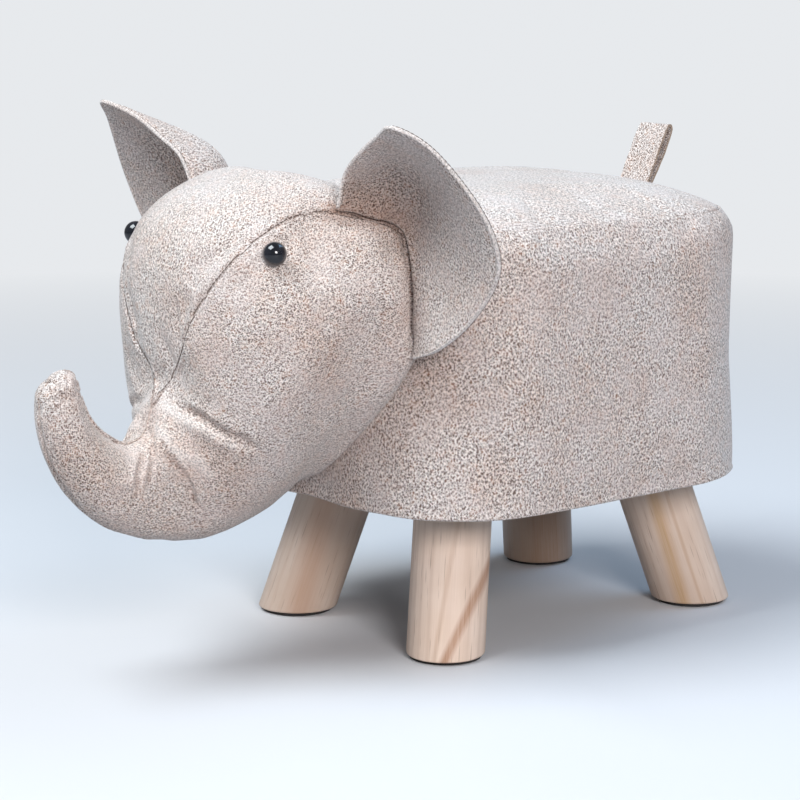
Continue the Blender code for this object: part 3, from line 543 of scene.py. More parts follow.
def relaxed(bm, verts, rounds):
    for _ in range(rounds):
        bmesh.ops.smooth_vert(bm, verts=verts, factor=0.5, use_axis_x=True, use_axis_y=True, use_axis_z=True)


def finderOf(lines):
    points = [p for line in lines for p in line]
    finder = KDTree(len(points))
    for i, point in enumerate(points):
        finder.insert(point, i)
    finder.balance()
    return finder


def press(bm, lines, depth, width, ridge=0.0, fade=8 * mm, pitch=0.8 * mm):
    # press lines into the surface, with a low ridge on both sides, fading out at their ends
    marks, strengths = [], []
    for line in lines:
        points = evenSteps(line, pitch)
        marks += points
        strengths += [min(1.0, (min(i, len(points) - 1 - i) * pitch + 0.5 * mm) / fade) for i in range(len(points))]
    finder = finderOf([marks])
    bm.normal_update()
    for vert in bm.verts:
        _, index, away = finder.find(vert.co)
        if away < max(width * 4, 4 * mm):
            rise = ridge * bell(away - width * 1.9, width * 0.9) - depth * bell(away, width)
            vert.co += vert.normal * rise * strengths[index]
    bm.normal_update()


def paintShading(piece, amountOf):
    # painted light and shade: how far the cloth turns brown for shade, or pale below 0 for highlight, point by point
    layer = piece.data.attributes.new("tint", "FLOAT", "POINT")
    for vert, item in zip(piece.data.vertices, layer.data):
        item.value = amountOf(vert.co)
    return piece


def subdivided(piece):
    # the piece's mesh, divided once
    piece.modifiers.new("soft", "SUBSURF").levels = 1
    graph = bpy.context.evaluated_depsgraph_get()
    done = bpy.data.meshes.new_from_object(piece.evaluated_get(graph), depsgraph=graph)
    old = piece.data
    piece.modifiers.clear()
    piece.data = done
    bpy.data.meshes.remove(old)
    return piece


def treeOf(piece):
    mesh = piece.data
    return BVHTree.FromPolygons([v.co for v in mesh.vertices], [list(p.vertices) for p in mesh.polygons])


threadBrown = makeThread("brownThread", (0.085, 0.052, 0.038))
threadMid = makeThread("tanThread", (0.24, 0.165, 0.125))
threadPale = makeThread("paleThread", (0.55, 0.47, 0.42))
# thread, distance between stitches, length and thickness of one, and how far it stands off the cloth
stitch = {
    "headSeam": (threadBrown, 2.9 * mm, 2.75 * mm, 0.62 * mm, 0.12 * mm),
    "underSeam": (threadPale, 2.9 * mm, 2.75 * mm, 0.45 * mm, 0.12 * mm),
    "earTop": (threadMid, 2.4 * mm, 2.0 * mm, 0.40 * mm, 0.02 * mm),
    "earEdge": (threadBrown, 2.8 * mm, 2.75 * mm, 0.62 * mm, 0.05 * mm),
    "earRoot": (threadBrown, 2.3 * mm, 2.25 * mm, 0.62 * mm, 0.2 * mm),
}


def sewn(name, points, tree, kind, away=None):
    # a run of stitches: short threads, each lying on the cloth along the line
    material, pitch, length, thick, lift = stitch[kind]
    bm = bmesh.new()
    spots = evenSteps(points, pitch)
    for a, b in zip(spots, spots[1:]):
        along = (b - a).normalized()
        place, up, _, _ = tree.find_nearest((a + b) / 2)
        if away is not None and up.dot(away) < 0:
            up = -up
        side = along.cross(up).normalized()
        up = side.cross(along).normalized()
        turn = Matrix((along, side, up)).transposed().to_4x4()
        shape = Matrix.Diagonal((length / 2, thick / 2, thick / 2, 1))
        stand = Matrix.Translation(place + up * lift) @ turn @ shape @ Matrix.Rotation(math.pi / 2, 4, "Y")
        bmesh.ops.create_uvsphere(bm, u_segments=6, v_segments=5, radius=1.0, matrix=stand)
    return finishPiece(name, bm, [material], weld=0)


# the seat's plan: a rounded oblong, whose columns are even round the rim

seat = {
    "length": 274 * mm, "width": 248 * mm, "corner": 74 * mm, "centre": 85.5 * mm, "columns": 220,
    "seamInset": 12 * mm, "seamHeight": 250 * mm, "crown": 17 * mm, "fullness": 5,
    "lean": 2 * mm, "drop": 20 * mm, "hemBottom": 88.4 * mm, "hemRound": 3 * mm, "sideRows": 32, "roundRows": 10,
}


def planPoint(column, inset):
    # a point of the plan, drawn in by an inset: sides and corners in turn, from the middle of the +X side
    halfX, halfY = seat["width"] / 2 - seat["corner"], seat["length"] / 2 - seat["corner"]
    arc = seat["corner"] * math.pi / 2
    gone = (column % seat["columns"]) / seat["columns"] * (4 * arc + 4 * halfX + 4 * halfY)
    radius = seat["corner"] - inset
    for k in range(5):
        faceX, faceY = ((1, 0), (0, 1), (-1, 0), (0, -1))[k % 4]
        half = (halfY, halfX)[k % 2]
        # the first side starts at its middle, and the fifth ends there
        length = half if k in (0, 4) else 2 * half
        if gone <= length or k == 4:
            slide = gone if k == 0 else gone - half
            return Vector((faceX * halfX + faceX * radius - faceY * slide,
                           faceY * halfY + faceY * radius + faceX * slide, 0))
        gone -= length
        if gone <= arc:
            angle = (k + gone / arc) * math.pi / 2
            return Vector(((faceX - faceY) * halfX + radius * math.cos(angle),
                           (faceX + faceY) * halfY + radius * math.sin(angle), 0))
        gone -= arc


def seatRing(inset, height, share=1.0):
    middle = Vector((0, seat["centre"], height))
    return [planPoint(i, inset) * share + middle for i in range(seat["columns"])]


def crownHeight(share):
    return seat["seamHeight"] + seat["crown"] * (1 - share ** seat["fullness"])


def sideOutline(sink=0.0):
    # inset and height of the side, from above the hem's rounding to the seam
    bottom = seat["hemBottom"] + seat["hemRound"]
    top = seat["seamHeight"] - seat["drop"]
    outline = []
    for i in range(seat["sideRows"]):
        height = bottom + (top - bottom) * i / seat["sideRows"]
        outline.append((sink + seat["lean"] * (height - bottom) / (top - bottom), height))
    for i in range(seat["roundRows"] + 1):
        turn = i / seat["roundRows"] * math.pi / 2
        inset = seat["lean"] + (seat["seamInset"] - seat["lean"]) * (1 - math.cos(turn))
        outline.append((inset + sink * math.cos(turn), top + (seat["drop"] - sink) * math.sin(turn)))
    return outline


clothSeat = makeCloth("seatCloth", turn=45, pitch=1.5 * mm)
clothHead = makeCloth("headCloth", turn=38)
# the ears' cloth made a little darker: painted shade
clothEar = makeCloth("earCloth", turn=52, shade=0.97, pitch=1.35 * mm)


# seat: the crowned pad on top, sewn round its rim

pad = {
    "rows": 30, "lastShare": 0.985, "sunk": 1.4 * mm, "cap": 2.6 * mm, "give": 0.006, "heldBelow": 0.6 * mm,
    # the end of the next line: how much paler the top is painted towards the crown, and over what height; painted
    # light
    "softFrom": -0.1 * mm, "softOver": 8 * mm, "rubbed": -0.24, "crownLightOver": 12 * mm,
    # over the seam's edge, down inside the side cover to the board: inset and height in millimetres
    "edgeInset": 0.2 * mm, "edgeDrop": Vector((0, 0, 0.4 * mm)),
    "tuck": [(13.0, 248.6), (11.2, 246.0), (7.4, 242.0), (4.6, 236.0), (4.2, 235.8), (10, 235.6), (30, 235.6)],
}


def makeSeatPad():
    seamHeight = seat["seamHeight"]
    shares = [i / pad["rows"] for i in range(1, pad["rows"])] + [pad["lastShare"]]
    rings = [seatRing(seat["seamInset"], crownHeight(share) - pad["sunk"] * min(1, (1 - share) * 8), share)
             for share in shares]
    rings.append([p - pad["edgeDrop"] for p in seatRing(seat["seamInset"] + pad["edgeInset"], seamHeight)])
    rings += [seatRing(inset * mm, height * mm) for inset, height in pad["tuck"]]
    bm, _, _ = ringLoft(rings)
    layFlat(bm, lambda vert, face: (vert.co.x, vert.co.y))
    piece = finishPiece("seat_pad", bm, [clothSeat])
    held = {vert.index: 1.0 for vert in piece.data.vertices if vert.co.z < seamHeight + pad["heldBelow"]}
    inflated(piece, held, pad["cap"], pad["give"])

    def soften(bm):
        for vert in bm.verts:
            rise = vert.co.z - seamHeight - pad["softFrom"]
            if rise > 0:
                low = uneven(vert.co, 9.0, 0.8 * mm) + uneven(vert.co, 23.0, 0.4 * mm, (4, 1, 0))
                vert.co.z += low * min(1.0, rise / pad["softOver"])

    # paler towards the crown: painted light on the seat's top
    paintShading(piece, lambda place: pad["rubbed"] * clamp((place.z - seamHeight) / pad["crownLightOver"]))
    return shaped(piece, soften)


# side cover: an outer and an inner layer, from the turned hem up to the seam and back down the wall.
# Insets and heights are in millimetres, those of the hem and the seam from the hem's bottom and the seam

cover = {
    "outerSink": 0.8 * mm, "innerSink": 2.2 * mm, "cap": 2.4 * mm, "give": 0.004,
    "hem": [(20, 0), (8, 0), (3.2, 0), (1.2, 0.5), (0.25, 1.6)],
    "seamTuck": [(-0.9, -0.1), (0.3, -0.9), (0.4, -2.2)],
    "wallInset": 9.8 * mm - 0.3 * mm, "wallHeights": [235.0 * mm, 170 * mm, 90.2 * mm], "hemThick": 1.2 * mm,
    "backBottom": 235.5 * mm, "backShift": 0.3 * mm, "backLeast": 1.6 * mm, "backDrop": 0.5 * mm,
    # the upright seams at the rear corners, as shares of the rim
    "rearSeams": (0.185, 0.315),
}


def makeSideCover():
    bottom, columns = seat["hemBottom"], seat["columns"]
    outer = sideOutline(cover["outerSink"])
    hem = [(inset * mm, bottom + rise * mm) for inset, rise in cover["hem"]]
    outline = hem + outer[:-1]
    outline += [(seat["seamInset"] + inset * mm, seat["seamHeight"] + rise * mm) for inset, rise in cover["seamTuck"]]
    outline += [(max(inset + cover["backShift"], cover["backLeast"]), height - cover["backDrop"])
                for inset, height in reversed(sideOutline(cover["innerSink"])[:-2]) if height > cover["backBottom"]]
    outline += [(cover["wallInset"], height) for height in cover["wallHeights"]]
    outline.append((hem[0][0], bottom + cover["hemThick"]))
    bm, column, row = ringLoft([seatRing(inset, height) for inset, height in outline], closed=True)
    rim = sum((planPoint(i, 0) - planPoint(i + 1, 0)).length for i in range(columns))
    lengths = [0.0]
    for (a, b), (c, d) in zip(outline, outline[1:]):
        lengths.append(lengths[-1] + math.hypot(c - a, d - b))

    def flatPlace(vert, face):
        wraps = any(v[column] > columns * 0.7 for v in face.verts) and vert[column] < columns * 0.3
        return ((vert[column] + (columns if wraps else 0)) / columns * rim, lengths[vert[row]])

    layFlat(bm, flatPlace)
    # sewn down at the hem and from the shoulder on, half held next to them
    low, high = len(hem) + 1, len(hem) + len(outer) - 2
    holds = [0.5 if vert[row] in (low, high) else 0.0 if low < vert[row] < high else 1.0 for vert in bm.verts]
    piece = finishPiece("side_cover", bm, [clothSeat], weld=0)
    inflated(piece, {i: hold for i, hold in enumerate(holds) if hold > 0}, cover["cap"], cover["give"])

    def soften(bm):
        for vert in bm.verts:
            outside = (vert.co - Vector((0, seat["centre"], vert.co.z))).dot(vert.normal) > 0
            if outside and (holds[vert.index] < 1.0 or vert.co.z < bottom + 2 * mm):
                low = (vert.co.z - bottom) / (seat["seamHeight"] - bottom)
                soft = uneven(vert.co, 7.0, 1.3 * mm, (1.7, 0, 0)) + uneven(vert.co, 24.0, 0.35 * mm, (3.1, 0, 0))
                ripple = uneven(vert.co * Vector((6, 6, 1)), 5.0, 0.9 * mm) * max(0.0, 1 - low * 3)
                vert.co += vert.normal * (soft * min(1.0, (1 - low) * 6, 0.25 + low * 4) + ripple)
        lines = []
        for share in cover["rearSeams"]:
            corner = planPoint(columns * share, 0)
            lines.append([corner + Vector((0, seat["centre"], height)) - corner.normalized() * inset
                          for inset, height in sideOutline()[2:-4]])
        press(bm, lines, 0.7 * mm, 1.2 * mm, 0.15 * mm)

    return shaped(piece, soften)


seatPad = makeSeatPad()
sideCover = makeSideCover()
print("seat made")


# head and trunk: sections from the neck to the trunk's tip, in millimetres, as the upper rail's
# place and height, the lower rail's, half width, widest line, roundness over and under, and the
# half width of the forehead panel

head = {
    "shift": 96.5, "rowsPerSection": 9, "gussetColumns": 14, "sideColumns": 50, "tipRows": 7, "tipReach": 8.5 * mm,
    "slack": 1.8 * mm, "cap": 4.5 * mm, "give": 0.022, "trunkFrom": 10, "farSide": 0.45,
    "sections": [
        (-117, 257, -122, 106, 93, 0.555, 4.0, 1.20, 85), (-146, 271, -151, 100, 93, 0.49, 4.4, 1.22, 81),
        (-172, 282, -168, 93, 89, 0.52, 3.3, 1.17, 74), (-198, 281, -183, 88, 85, 0.525, 2.6, 1.28, 61),
        (-225, 272, -199, 83, 79, 0.51, 2.4, 1.42, 55.5), (-243, 258, -212, 80, 67.5, 0.497, 2.5, 1.58, 50),
        (-252, 242, -225, 77.5, 51, 0.47, 2.45, 1.8, 39), (-255, 223, -238, 77, 38.5, 0.468, 2.4, 1.9, 29),
        (-252, 199, -251, 78, 31, 0.47, 2.2, 2.0, 20), (-250, 175, -264, 81, 27.5, 0.48, 1.9, 2.0, 9),
        (-258, 157, -276, 85, 25, 0.5, 2.0, 2.0, 0), (-264, 142, -288, 91, 23.5, 0.5, 2.0, 2.0, 0),
        (-275, 138, -299, 99, 22, 0.5, 2.0, 2.0, 0), (-285, 143, -310, 110, 20.5, 0.5, 2.0, 2.0, 0),
        (-294, 151, -319, 123, 19, 0.5, 2.0, 2.0, 0), (-300, 161, -326, 138, 17.5, 0.5, 2.0, 2.0, 0),
        (-303, 170, -330, 154, 15.5, 0.5, 2.0, 2.0, 0), (-305, 177, -331, 167, 12.5, 0.5, 2.0, 2.0, 0),
    ],
    # folds of the stuffed cloth on the left half, in millimetres: depth, width, ridge beside it
    "folds": [
        ([(19, -254, 157), (30, -252, 154), (38, -247, 150), (44, -241, 145), (51, -234, 141), (57, -223, 135)],
         3.4, 2.6, 0.8),
        ([(18, -264, 141), (24, -263, 134), (27, -259, 126), (29, -254, 117), (28, -249, 106), (25, -243, 97)],
         3.0, 1.7, 0.8),
        ([(12, -271, 136), (19, -276, 130), (21, -279, 124), (22, -282, 115), (21, -284, 106)], 2.4, 1.6, 0.7),
        ([(10, -265, 139), (18, -269, 133), (22, -272, 125), (23, -275, 117)], 1.6, 1.5, 0.5),
        ([(5, -256, 160), (20, -255, 153), (35, -250, 145), (44, -242, 140), (52, -232, 135)], -1.1, 4.0, 0.0),
        ([(6, -262, 147), (19, -263, 142), (26, -258, 134), (33, -248, 125), (36, -240, 116)], -1.0, 4.0, 0.0),
    ],
    # gathers round the closed tip of the trunk
    "gathers": [
        [(13, -319, 172), (9, -323, 176), (0, -324, 179), (-6, -325, 178)],
        [(13, -319, 170), (11, -323, 172), (6, -327, 174), (-1, -329, 172)],
        [(12, -318, 173), (8, -316, 179), (2, -313, 181)],
        [(12, -320, 169), (12, -325, 165), (8, -329, 160)],
        [(13, -316, 170), (13, -309, 171), (11, -304, 169)],
    ],
}


def headPlace(y, z, x=0.0):
    return Vector((x * mm, (y + head["shift"]) * mm, z * mm))


def headHalf(t):
    # the left half of one section: top seam to gusset seam, and gusset seam to the lower seam
    upY, upZ, lowY, lowZ, width, widest, over, under, gusset = blendRows(head["sections"], t)
    upper, lower = headPlace(upY, upZ), headPlace(lowY, lowZ)
    axis = lower.lerp(upper, widest)
    gusset = max(0.0, gusset) if t < head["trunkFrom"] else 0.0

    def onUpper(out):
        rise = max(0.0, 1 - (out / width) ** over) ** (1 / over)
        return axis.lerp(upper, rise) + Vector((out * mm, 0, 0))

    top = [onUpper(gusset * i / 60) for i in range(61)]
    seamAngle = math.acos(min(1.0, (gusset / width) ** (over / 2)))
    side = [onUpper(width * math.cos(seamAngle * (1 - i / 120)) ** (2 / over)) for i in range(121)]
    for i in range(1, 121):
        angle = math.pi / 2 * i / 120
        out = max(0.0, math.cos(angle)) ** (2 / under) * width * mm
        side.append(axis.lerp(lower, math.sin(angle) ** (2 / under)) + Vector((out, 0, 0)))
    return top, side


def clustered(count, near, both=False):
    # shares from 0 to 1, closer together at the start, and at the end too if asked
    shares = [i / count for i in range(count + 1)]
    if both:
        return [(1 - near) * (0.5 - 0.5 * math.cos(math.pi * s)) + near * s for s in shares]
    return [(1 - near) * s * s + near * s for s in shares]


def headRing(t):
    top, side = headHalf(t)
    gussetShares = [1 - s for s in reversed(clustered(head["gussetColumns"], 0.35))]
    half = [top[0]] * head["gussetColumns"]
    if (top[-1] - top[0]).length > 1e-7:
        half = resampled(top, gussetShares)[:-1]
    half = half + resampled(side, clustered(head["sideColumns"], 0.45, both=True))
    return half + mirrored(half[-2:0:-1])


def makeHeadForm():
    steps = (len(head["sections"]) - 1) * head["rowsPerSection"]
    rings = [headRing(i / head["rowsPerSection"]) for i in range(steps + 1)]
    # the trunk's round tip
    base = rings[-1]
    middle = sum(base, Vector()) / len(base)
    onward = (middle - sum(rings[-4], Vector()) / len(base)).normalized()
    for k in range(1, head["tipRows"] + 1):
        angle = k / (head["tipRows"] + 0.4) * math.pi / 2
        rings.append([middle + (p - middle) * math.cos(angle) ** 0.8 + onward * head["tipReach"] * math.sin(angle)
                      for p in base])
    return (*ringLoft(rings), len(rings[0]))


headForm, headColumn, headRow, columnCount = makeHeadForm()
gussetSeam = head["gussetColumns"]
underSeam = head["gussetColumns"] + head["sideColumns"]
trunkRow = head["trunkFrom"] * head["rowsPerSection"]
print("head form:", len(headForm.verts), "points")


def sewnColumn(vert):
    # which seam of the head a point lies on, if any
    column, row = vert[headColumn], vert[headRow]
    if column == underSeam:
        return "under"
    if row >= trunkRow:
        return "trunk" if column <= gussetSeam or column >= columnCount - gussetSeam else None
    return {gussetSeam: "left", columnCount - gussetSeam: "right"}.get(column)


def makeHead():
    bm = headForm
    seamColumns = {gussetSeam, columnCount - gussetSeam, underSeam}
    relaxed(bm, [v for v in bm.verts if v[headColumn] not in seamColumns and not v.is_boundary
                 and headPlace(-258, 0).y < v.co.y < headPlace(-122, 0).y], 10)
    bmesh.ops.remove_doubles(bm, verts=bm.verts, dist=0.01 * mm)
    bmesh.ops.recalc_face_normals(bm, faces=bm.faces)
    bm.normal_update()
    bm.verts.index_update()
    seams = {v.index: sewnColumn(v) for v in bm.verts}
    for edge in bm.edges:
        a, b = (seams[v.index] for v in edge.verts)
        joined = a and b and (a == b or {a, b} <= {"left", "right", "trunk"})
        edge.seam = bool(joined) or all(v[headRow] == 0 for v in edge.verts)
    lines = {}
    for name in ("left", "right", "trunk", "under"):
        line = sorted((v for v in bm.verts if seams[v.index] == name), key=lambda v: v[headRow])
        lines[name] = [v.index for v in line if name in ("trunk", "under") or v[headRow] < trunkRow - 2]
    lastRow = max(v[headRow] for v in bm.verts)
    held = {v.index: 1.0 for v in bm.verts if seams[v.index] or not 3 <= v[headRow] < lastRow - 1}
    for vert in bm.verts:
        if vert.index not in held:
            vert.co -= vert.normal * head["slack"]
    piece = unwrapped(finishPiece("head_skin", bm, [clothHead], weld=0))
    return inflated(piece, held, head["cap"], head["give"]), lines


headPiece, seamIndices = makeHead()
seamLines = {name: [headPiece.data.vertices[i].co.copy() for i in line] for name, line in seamIndices.items()}
subdivided(headPiece)
headTree = treeOf(headPiece)


def onHead(line, sign=1):
    # a line of the tables, laid on the head
    return [headTree.find_nearest(headPlace(y, z, sign * x))[0] for x, y, z in line]


# where the ears are sewn on, front first
earRoot = [(67, -180, 264), (71, -175, 265), (76, -168, 266.5), (81, -158, 268), (86, -149, 267.5), (91, -143, 254),
           (94, -141, 239), (96, -140, 225), (97, -140, 212), (97, -141, 201), (97, -143, 190), (96, -146, 181)]
rootDip = {"depth": 4.6 * mm, "width": 3.0 * mm, "ridge": 0.4 * mm, "fade": 16 * mm}
rootFeet = onHead(earRoot)
rootWays = [headTree.find_nearest(headPlace(y, z, x))[1] for x, y, z in earRoot]
rootWays = [way if way.x > 0 else -way for way in rootWays]
rootPath = smoothPath(rootFeet, 5)
rootLines = [rootPath, mirrored(rootPath)]

# the folds as paths on both sides, weaker on the far side, and the gathers
folds = []
for line, depth, width, ridge in head["folds"]:
    for sign, share in ((1, mm), (-1, head["farSide"] * mm)):
        folds.append((smoothPath(onHead(line, sign), 6), depth * share, width * mm, ridge * share))
gathers = [onHead(line) for line in head["gathers"]]


def foldHead(bm):
    press(bm, [seamLines["left"], seamLines["right"]], 1.2 * mm, 1.2 * mm, 0.35 * mm, fade=14 * mm)
    press(bm, rootLines, 1.8 * mm, 8 * mm, fade=30 * mm)
    press(bm, rootLines, rootDip["depth"], rootDip["width"], rootDip["ridge"], fade=rootDip["fade"])
    press(bm, [seamLines["under"], seamLines["trunk"]], 0.8 * mm, 1.2 * mm, 0.2 * mm)
    for path, depth, width, ridge in folds:
        press(bm, [path], depth, width, ridge, fade=10 * mm)
    for line in gathers:
        press(bm, [line], 1.1 * mm, 0.9 * mm, 0.4 * mm, fade=4 * mm)
    # puckers along the seams, and a soft unevenness of the stuffing
    finder = finderOf(seamLines.values())
    for vert in bm.verts:
        away = finder.find(vert.co)[2]
        pucker = uneven(vert.co, 120.0, 0.35 * mm) * bell(away, 7 * mm)
        soft = uneven(vert.co, 22.0, 0.8 * mm) + uneven(vert.co, 60.0, 0.25 * mm, (7, 0, 0))
        vert.co += vert.normal * (pucker + soft * min(1.0, away / (9 * mm)))
    bm.normal_update()


shaped(headPiece, foldHead)

# painted shade in the folds and gathers and by the ears, there partly the cloth's own browner print, and painted
# highlight along the ridges: lines, amount and width
earRootShadeFinder = finderOf([line[:42] for line in rootLines])
paintedShadingLines = [
    (earRootShadeFinder, 1.0, 6 * mm), (earRootShadeFinder, 0.35, 18 * mm),
    (finderOf([path[2:-3] for path, depth, _, _ in folds if depth > 0]), 0.85, 1.5 * mm),
    (finderOf([path[2:-3] for path, depth, _, _ in folds if depth < 0]), -0.5, 3.6 * mm),
    (finderOf(gathers), 0.5, 1.2 * mm),
]


def headPaintedShading(place):
    # painted shade on the undersides and painted highlight on top, by the way the surface faces
    rise = headTree.find_nearest(place)[1].z
    amount = -0.45 * rise if rise < 0 else -0.28 * max(0.0, rise - 0.3)
    return amount + sum(share * bell(finder.find(place)[2], width) for finder, share, width in paintedShadingLines)


# tint, with its width and reach: painted shadow cast by the head on the seat's front
neck = {"gap": 0.9 * mm, "blockBottom": 60 * mm, "tuck": 2.0 * mm, "tuckWidth": 4.0 * mm, "tint": 0.62,
        "shadowWidth": 30 * mm, "shadowReach": 90 * mm}


def seatBlock(gap):
    # the seat's outside, a gap larger all round
    rings = [seatRing(-gap, neck["blockBottom"]), seatRing(-gap, seat["hemBottom"] + seat["hemRound"])]
    rings += [seatRing(inset - gap, height + gap * 0.5) for inset, height in sideOutline()[1:]]
    rings += [seatRing(seat["seamInset"], crownHeight(share) + gap, share) for share in (0.97, 0.9, 0.78, 0.6, 0.34)]
    return finishPiece("seatBlock", ringLoft(rings)[0], [])


block = seatBlock(neck["gap"])
blockTree = treeOf(block)
bpy.data.objects.remove(block)


def joinNeck(bm):
    # the cloth is drawn in where the head is sewn to the seat
    for vert in bm.verts:
        away = blockTree.find_nearest(vert.co)[3]
        if away < 3 * neck["tuckWidth"]:
            vert.co -= vert.normal * neck["tuck"] * bell(away, neck["tuckWidth"])
    # what lies inside the seat goes, and the new edge rests on it
    rest = {}
    for vert in bm.verts:
        near, out, _, _ = blockTree.find_nearest(vert.co)
        if (vert.co - near).dot(out) < 0:
            rest[vert] = near
    gone = [face for face in bm.faces if all(v in rest for v in face.verts)]
    edge = {v for face in set(bm.faces) - set(gone) for v in face.verts if v in rest}
    bmesh.ops.delete(bm, geom=gone, context="FACES")
    for vert in edge:
        vert.co = rest[vert]
    bm.normal_update()


def neckPaintedShadow(place):
    # painted shadow where the head overhangs the seat's front
    away = headTree.find_nearest(place, neck["shadowReach"])[3]
    return 0.0 if away is None else neck["tint"] * bell(away, neck["shadowWidth"])


shaped(headPiece, joinNeck)
headTree = treeOf(headPiece)
paintShading(headPiece, headPaintedShading)
paintShading(sideCover, neckPaintedShadow)
seamThreads = []
for name, points in seamLines.items():
    kept = [p for p in points if headTree.find_nearest(p)[3] < 3 * mm and p.y < headPlace(-148, 0).y]
    seamThreads.append(sewn("thread_" + name + "_seam", kept, headTree,
                            "headSeam" if name in ("left", "right") else "underSeam"))
print("head made:", len(headPiece.data.polygons), "faces")


# ears: two layers of cloth, sewn round the edge, turned and topstitched

ear = {
    "rows": 84, "steps": 34, "cup": 22 * mm, "bow": Vector((0, 0.7, 0.7)).normalized(), "edgeStep": 5,
    # distances of the columns in from the edge, in millimetres
    "rim": [0.0, 0.35, 0.9, 1.6, 2.4, 3.0, 3.7, 5.0, 7.5],
    # half thickness at distances in from the edge, in millimetres
    "rimHalf": [(0.0, 0.0), (0.35, 0.75), (0.9, 1.15), (1.6, 1.2), (2.4, 0.85), (3.0, 0.55), (3.7, 0.75), (5.0, 1.15),
                (7.5, 1.45), (12.0, 1.6)],
    # the free edge, in millimetres, front of the root first, and how far the row cups
    "outline": [
        (67, -180, 264, 0.0), (77, -182, 285, 0.4), (92, -186, 296, 0.7), (114, -190, 308, 1.0),
        (136, -197, 315, 1.0), (152, -182, 303, 0.85), (167, -162, 272, 0.5), (168.5, -150, 246, 0.3),
        (159, -146, 227, 0.2), (139, -147, 205, 0.12), (117, -148, 190, 0.05), (96, -146, 181, 0.0),
    ],
    # the hinge and the way out from it, on the left ear, and where the bend starts and ends
    "hinge": (83.12 * mm, -51.06 * mm, 255.51 * mm), "outward": (0.787, -0.613, 0.082), "bend": (5 * mm, 30 * mm),
}


def earHalf(away):
    for (a, b), (c, d) in zip(ear["rimHalf"], ear["rimHalf"][1:]):
        if away < c * mm:
            return (b + (d - b) * (away / mm - a) / (c - a)) * mm
    return ear["rimHalf"][-1][1] * mm


def earLine(t, sign):
    # one row of the ear, root first, as a fine polyline
    x, y, z, cup = blendRows(ear["outline"], t)
    edge = headPlace(y, z, x)
    # the root stands in the dip that the seam draws into the head
    outward = blendPath(rootWays, t).normalized()
    foot = blendPath(rootFeet, t)
    gone = min((foot - rootPath[0]).length, (foot - rootPath[-1]).length)
    root = foot - outward * (0.8 * rootDip["depth"] * min(1.0, gone / rootDip["fade"]) - 0.4 * mm)
    end = min(t, len(ear["outline"]) - 1 - t)
    if end < 1:
        edge = edge.lerp(root + outward * 3 * mm, (1 - end) ** 2)
    line = []
    for i in range(61):
        share = (i / 60) ** 1.6
        bow = math.sin(math.pi * share ** 0.45) * max(0.0, cup) * ear["cup"]
        line.append(root.lerp(edge, share) + ear["bow"] * bow)
    return line if sign > 0 else mirrored(line)


def makeEar(name, sign):
    rows, steps, rim = ear["rows"], ear["steps"], ear["rim"]
    bm = bmesh.new()
    rowLayer, stepLayer = (bm.verts.layers.int.new(key) for key in ("row", "step"))
    awayLayer, paintedShadingLayer = (bm.verts.layers.float.new(key) for key in ("away", "tint"))
    grid = bmesh.ops.create_grid(bm, x_segments=steps, y_segments=rows, size=0.5)["verts"]
    lines = []
    for r in range(rows + 1):
        line = earLine(r / rows * (len(ear["outline"]) - 1), sign)
        length = lengthOf(line)
        tight = min(1.0, length / (16 * mm))
        near = [1 - d * mm * tight / length for d in rim]
        inner = steps + 1 - len(rim)
        shares = [near[-1] * i / inner for i in range(inner)] + near[::-1]
        lines.append((resampled(line, shares), [(1 - s) * length for s in shares]))
    for vert in grid:
        r, s = round((vert.co.y + 0.5) * rows), round((vert.co.x + 0.5) * steps)
        vert[rowLayer], vert[stepLayer], vert[awayLayer] = r, s, min(lines[r][1][s], 1.0)
        vert.co = lines[r][0][s]
    relaxed(bm, [v for v in bm.verts if 2 < v[stepLayer] < steps - len(rim) and 1 < v[rowLayer] < rows - 1], 14)
    for edge in bm.edges:
        edge.seam = edge.is_boundary
    bm.normal_update()
    if sum(face.normal.y for face in bm.faces) > 0:
        bmesh.ops.reverse_faces(bm, faces=bm.faces)
    bm.normal_update()
    # the lines of the edge, the topstitching and the root
    kept = []
    for step in (steps, steps - ear["edgeStep"], 0):
        line = sorted((v for v in bm.verts if v[stepLayer] == step), key=lambda v: v[rowLayer])
        kept.append([v.co.copy() for v in line])
    copy = bmesh.ops.duplicate(bm, geom=bm.verts[:] + bm.edges[:] + bm.faces[:])["geom"]
    behind = {v for v in copy if isinstance(v, bmesh.types.BMVert)}
    bmesh.ops.reverse_faces(bm, faces=[f for f in copy if isinstance(f, bmesh.types.BMFace)])
    for vert in bm.verts:
        row, away = vert[rowLayer], vert[awayLayer]
        along = (vert.co - lines[row][0][0]).length
        # both layers close up at the root and at the two ends
        ends = min(row, rows - row) * 1.6 * mm
        half = earHalf(away) * min(1.0, along / (3 * mm)) * min(1.0, ends / (3 * mm))
        # painted shade in the hollow, partly the cloth's own browner print there, and paler along the rim: a painted
        # highlight on the rolled rim, partly the cloth stretched paler there
        hollowShade = 0.0
        if vert not in behind:
            hollowShade = clamp(1.25 - row / rows * 2.1) * bell(along, 34 * mm) + 0.5 * bell(along, 11 * mm) + 0.06
        vert[paintedShadingLayer] = min(1.0, hollowShade) * min(1.0, away / (6 * mm)) - 0.55 * bell(away, 2.3 * mm)
        vert.co += vert.normal * half
    piece = finishPiece(name, bm, [clothEar], weld=0.02 * mm)
    return subdivided(unwrapped(piece)), *kept


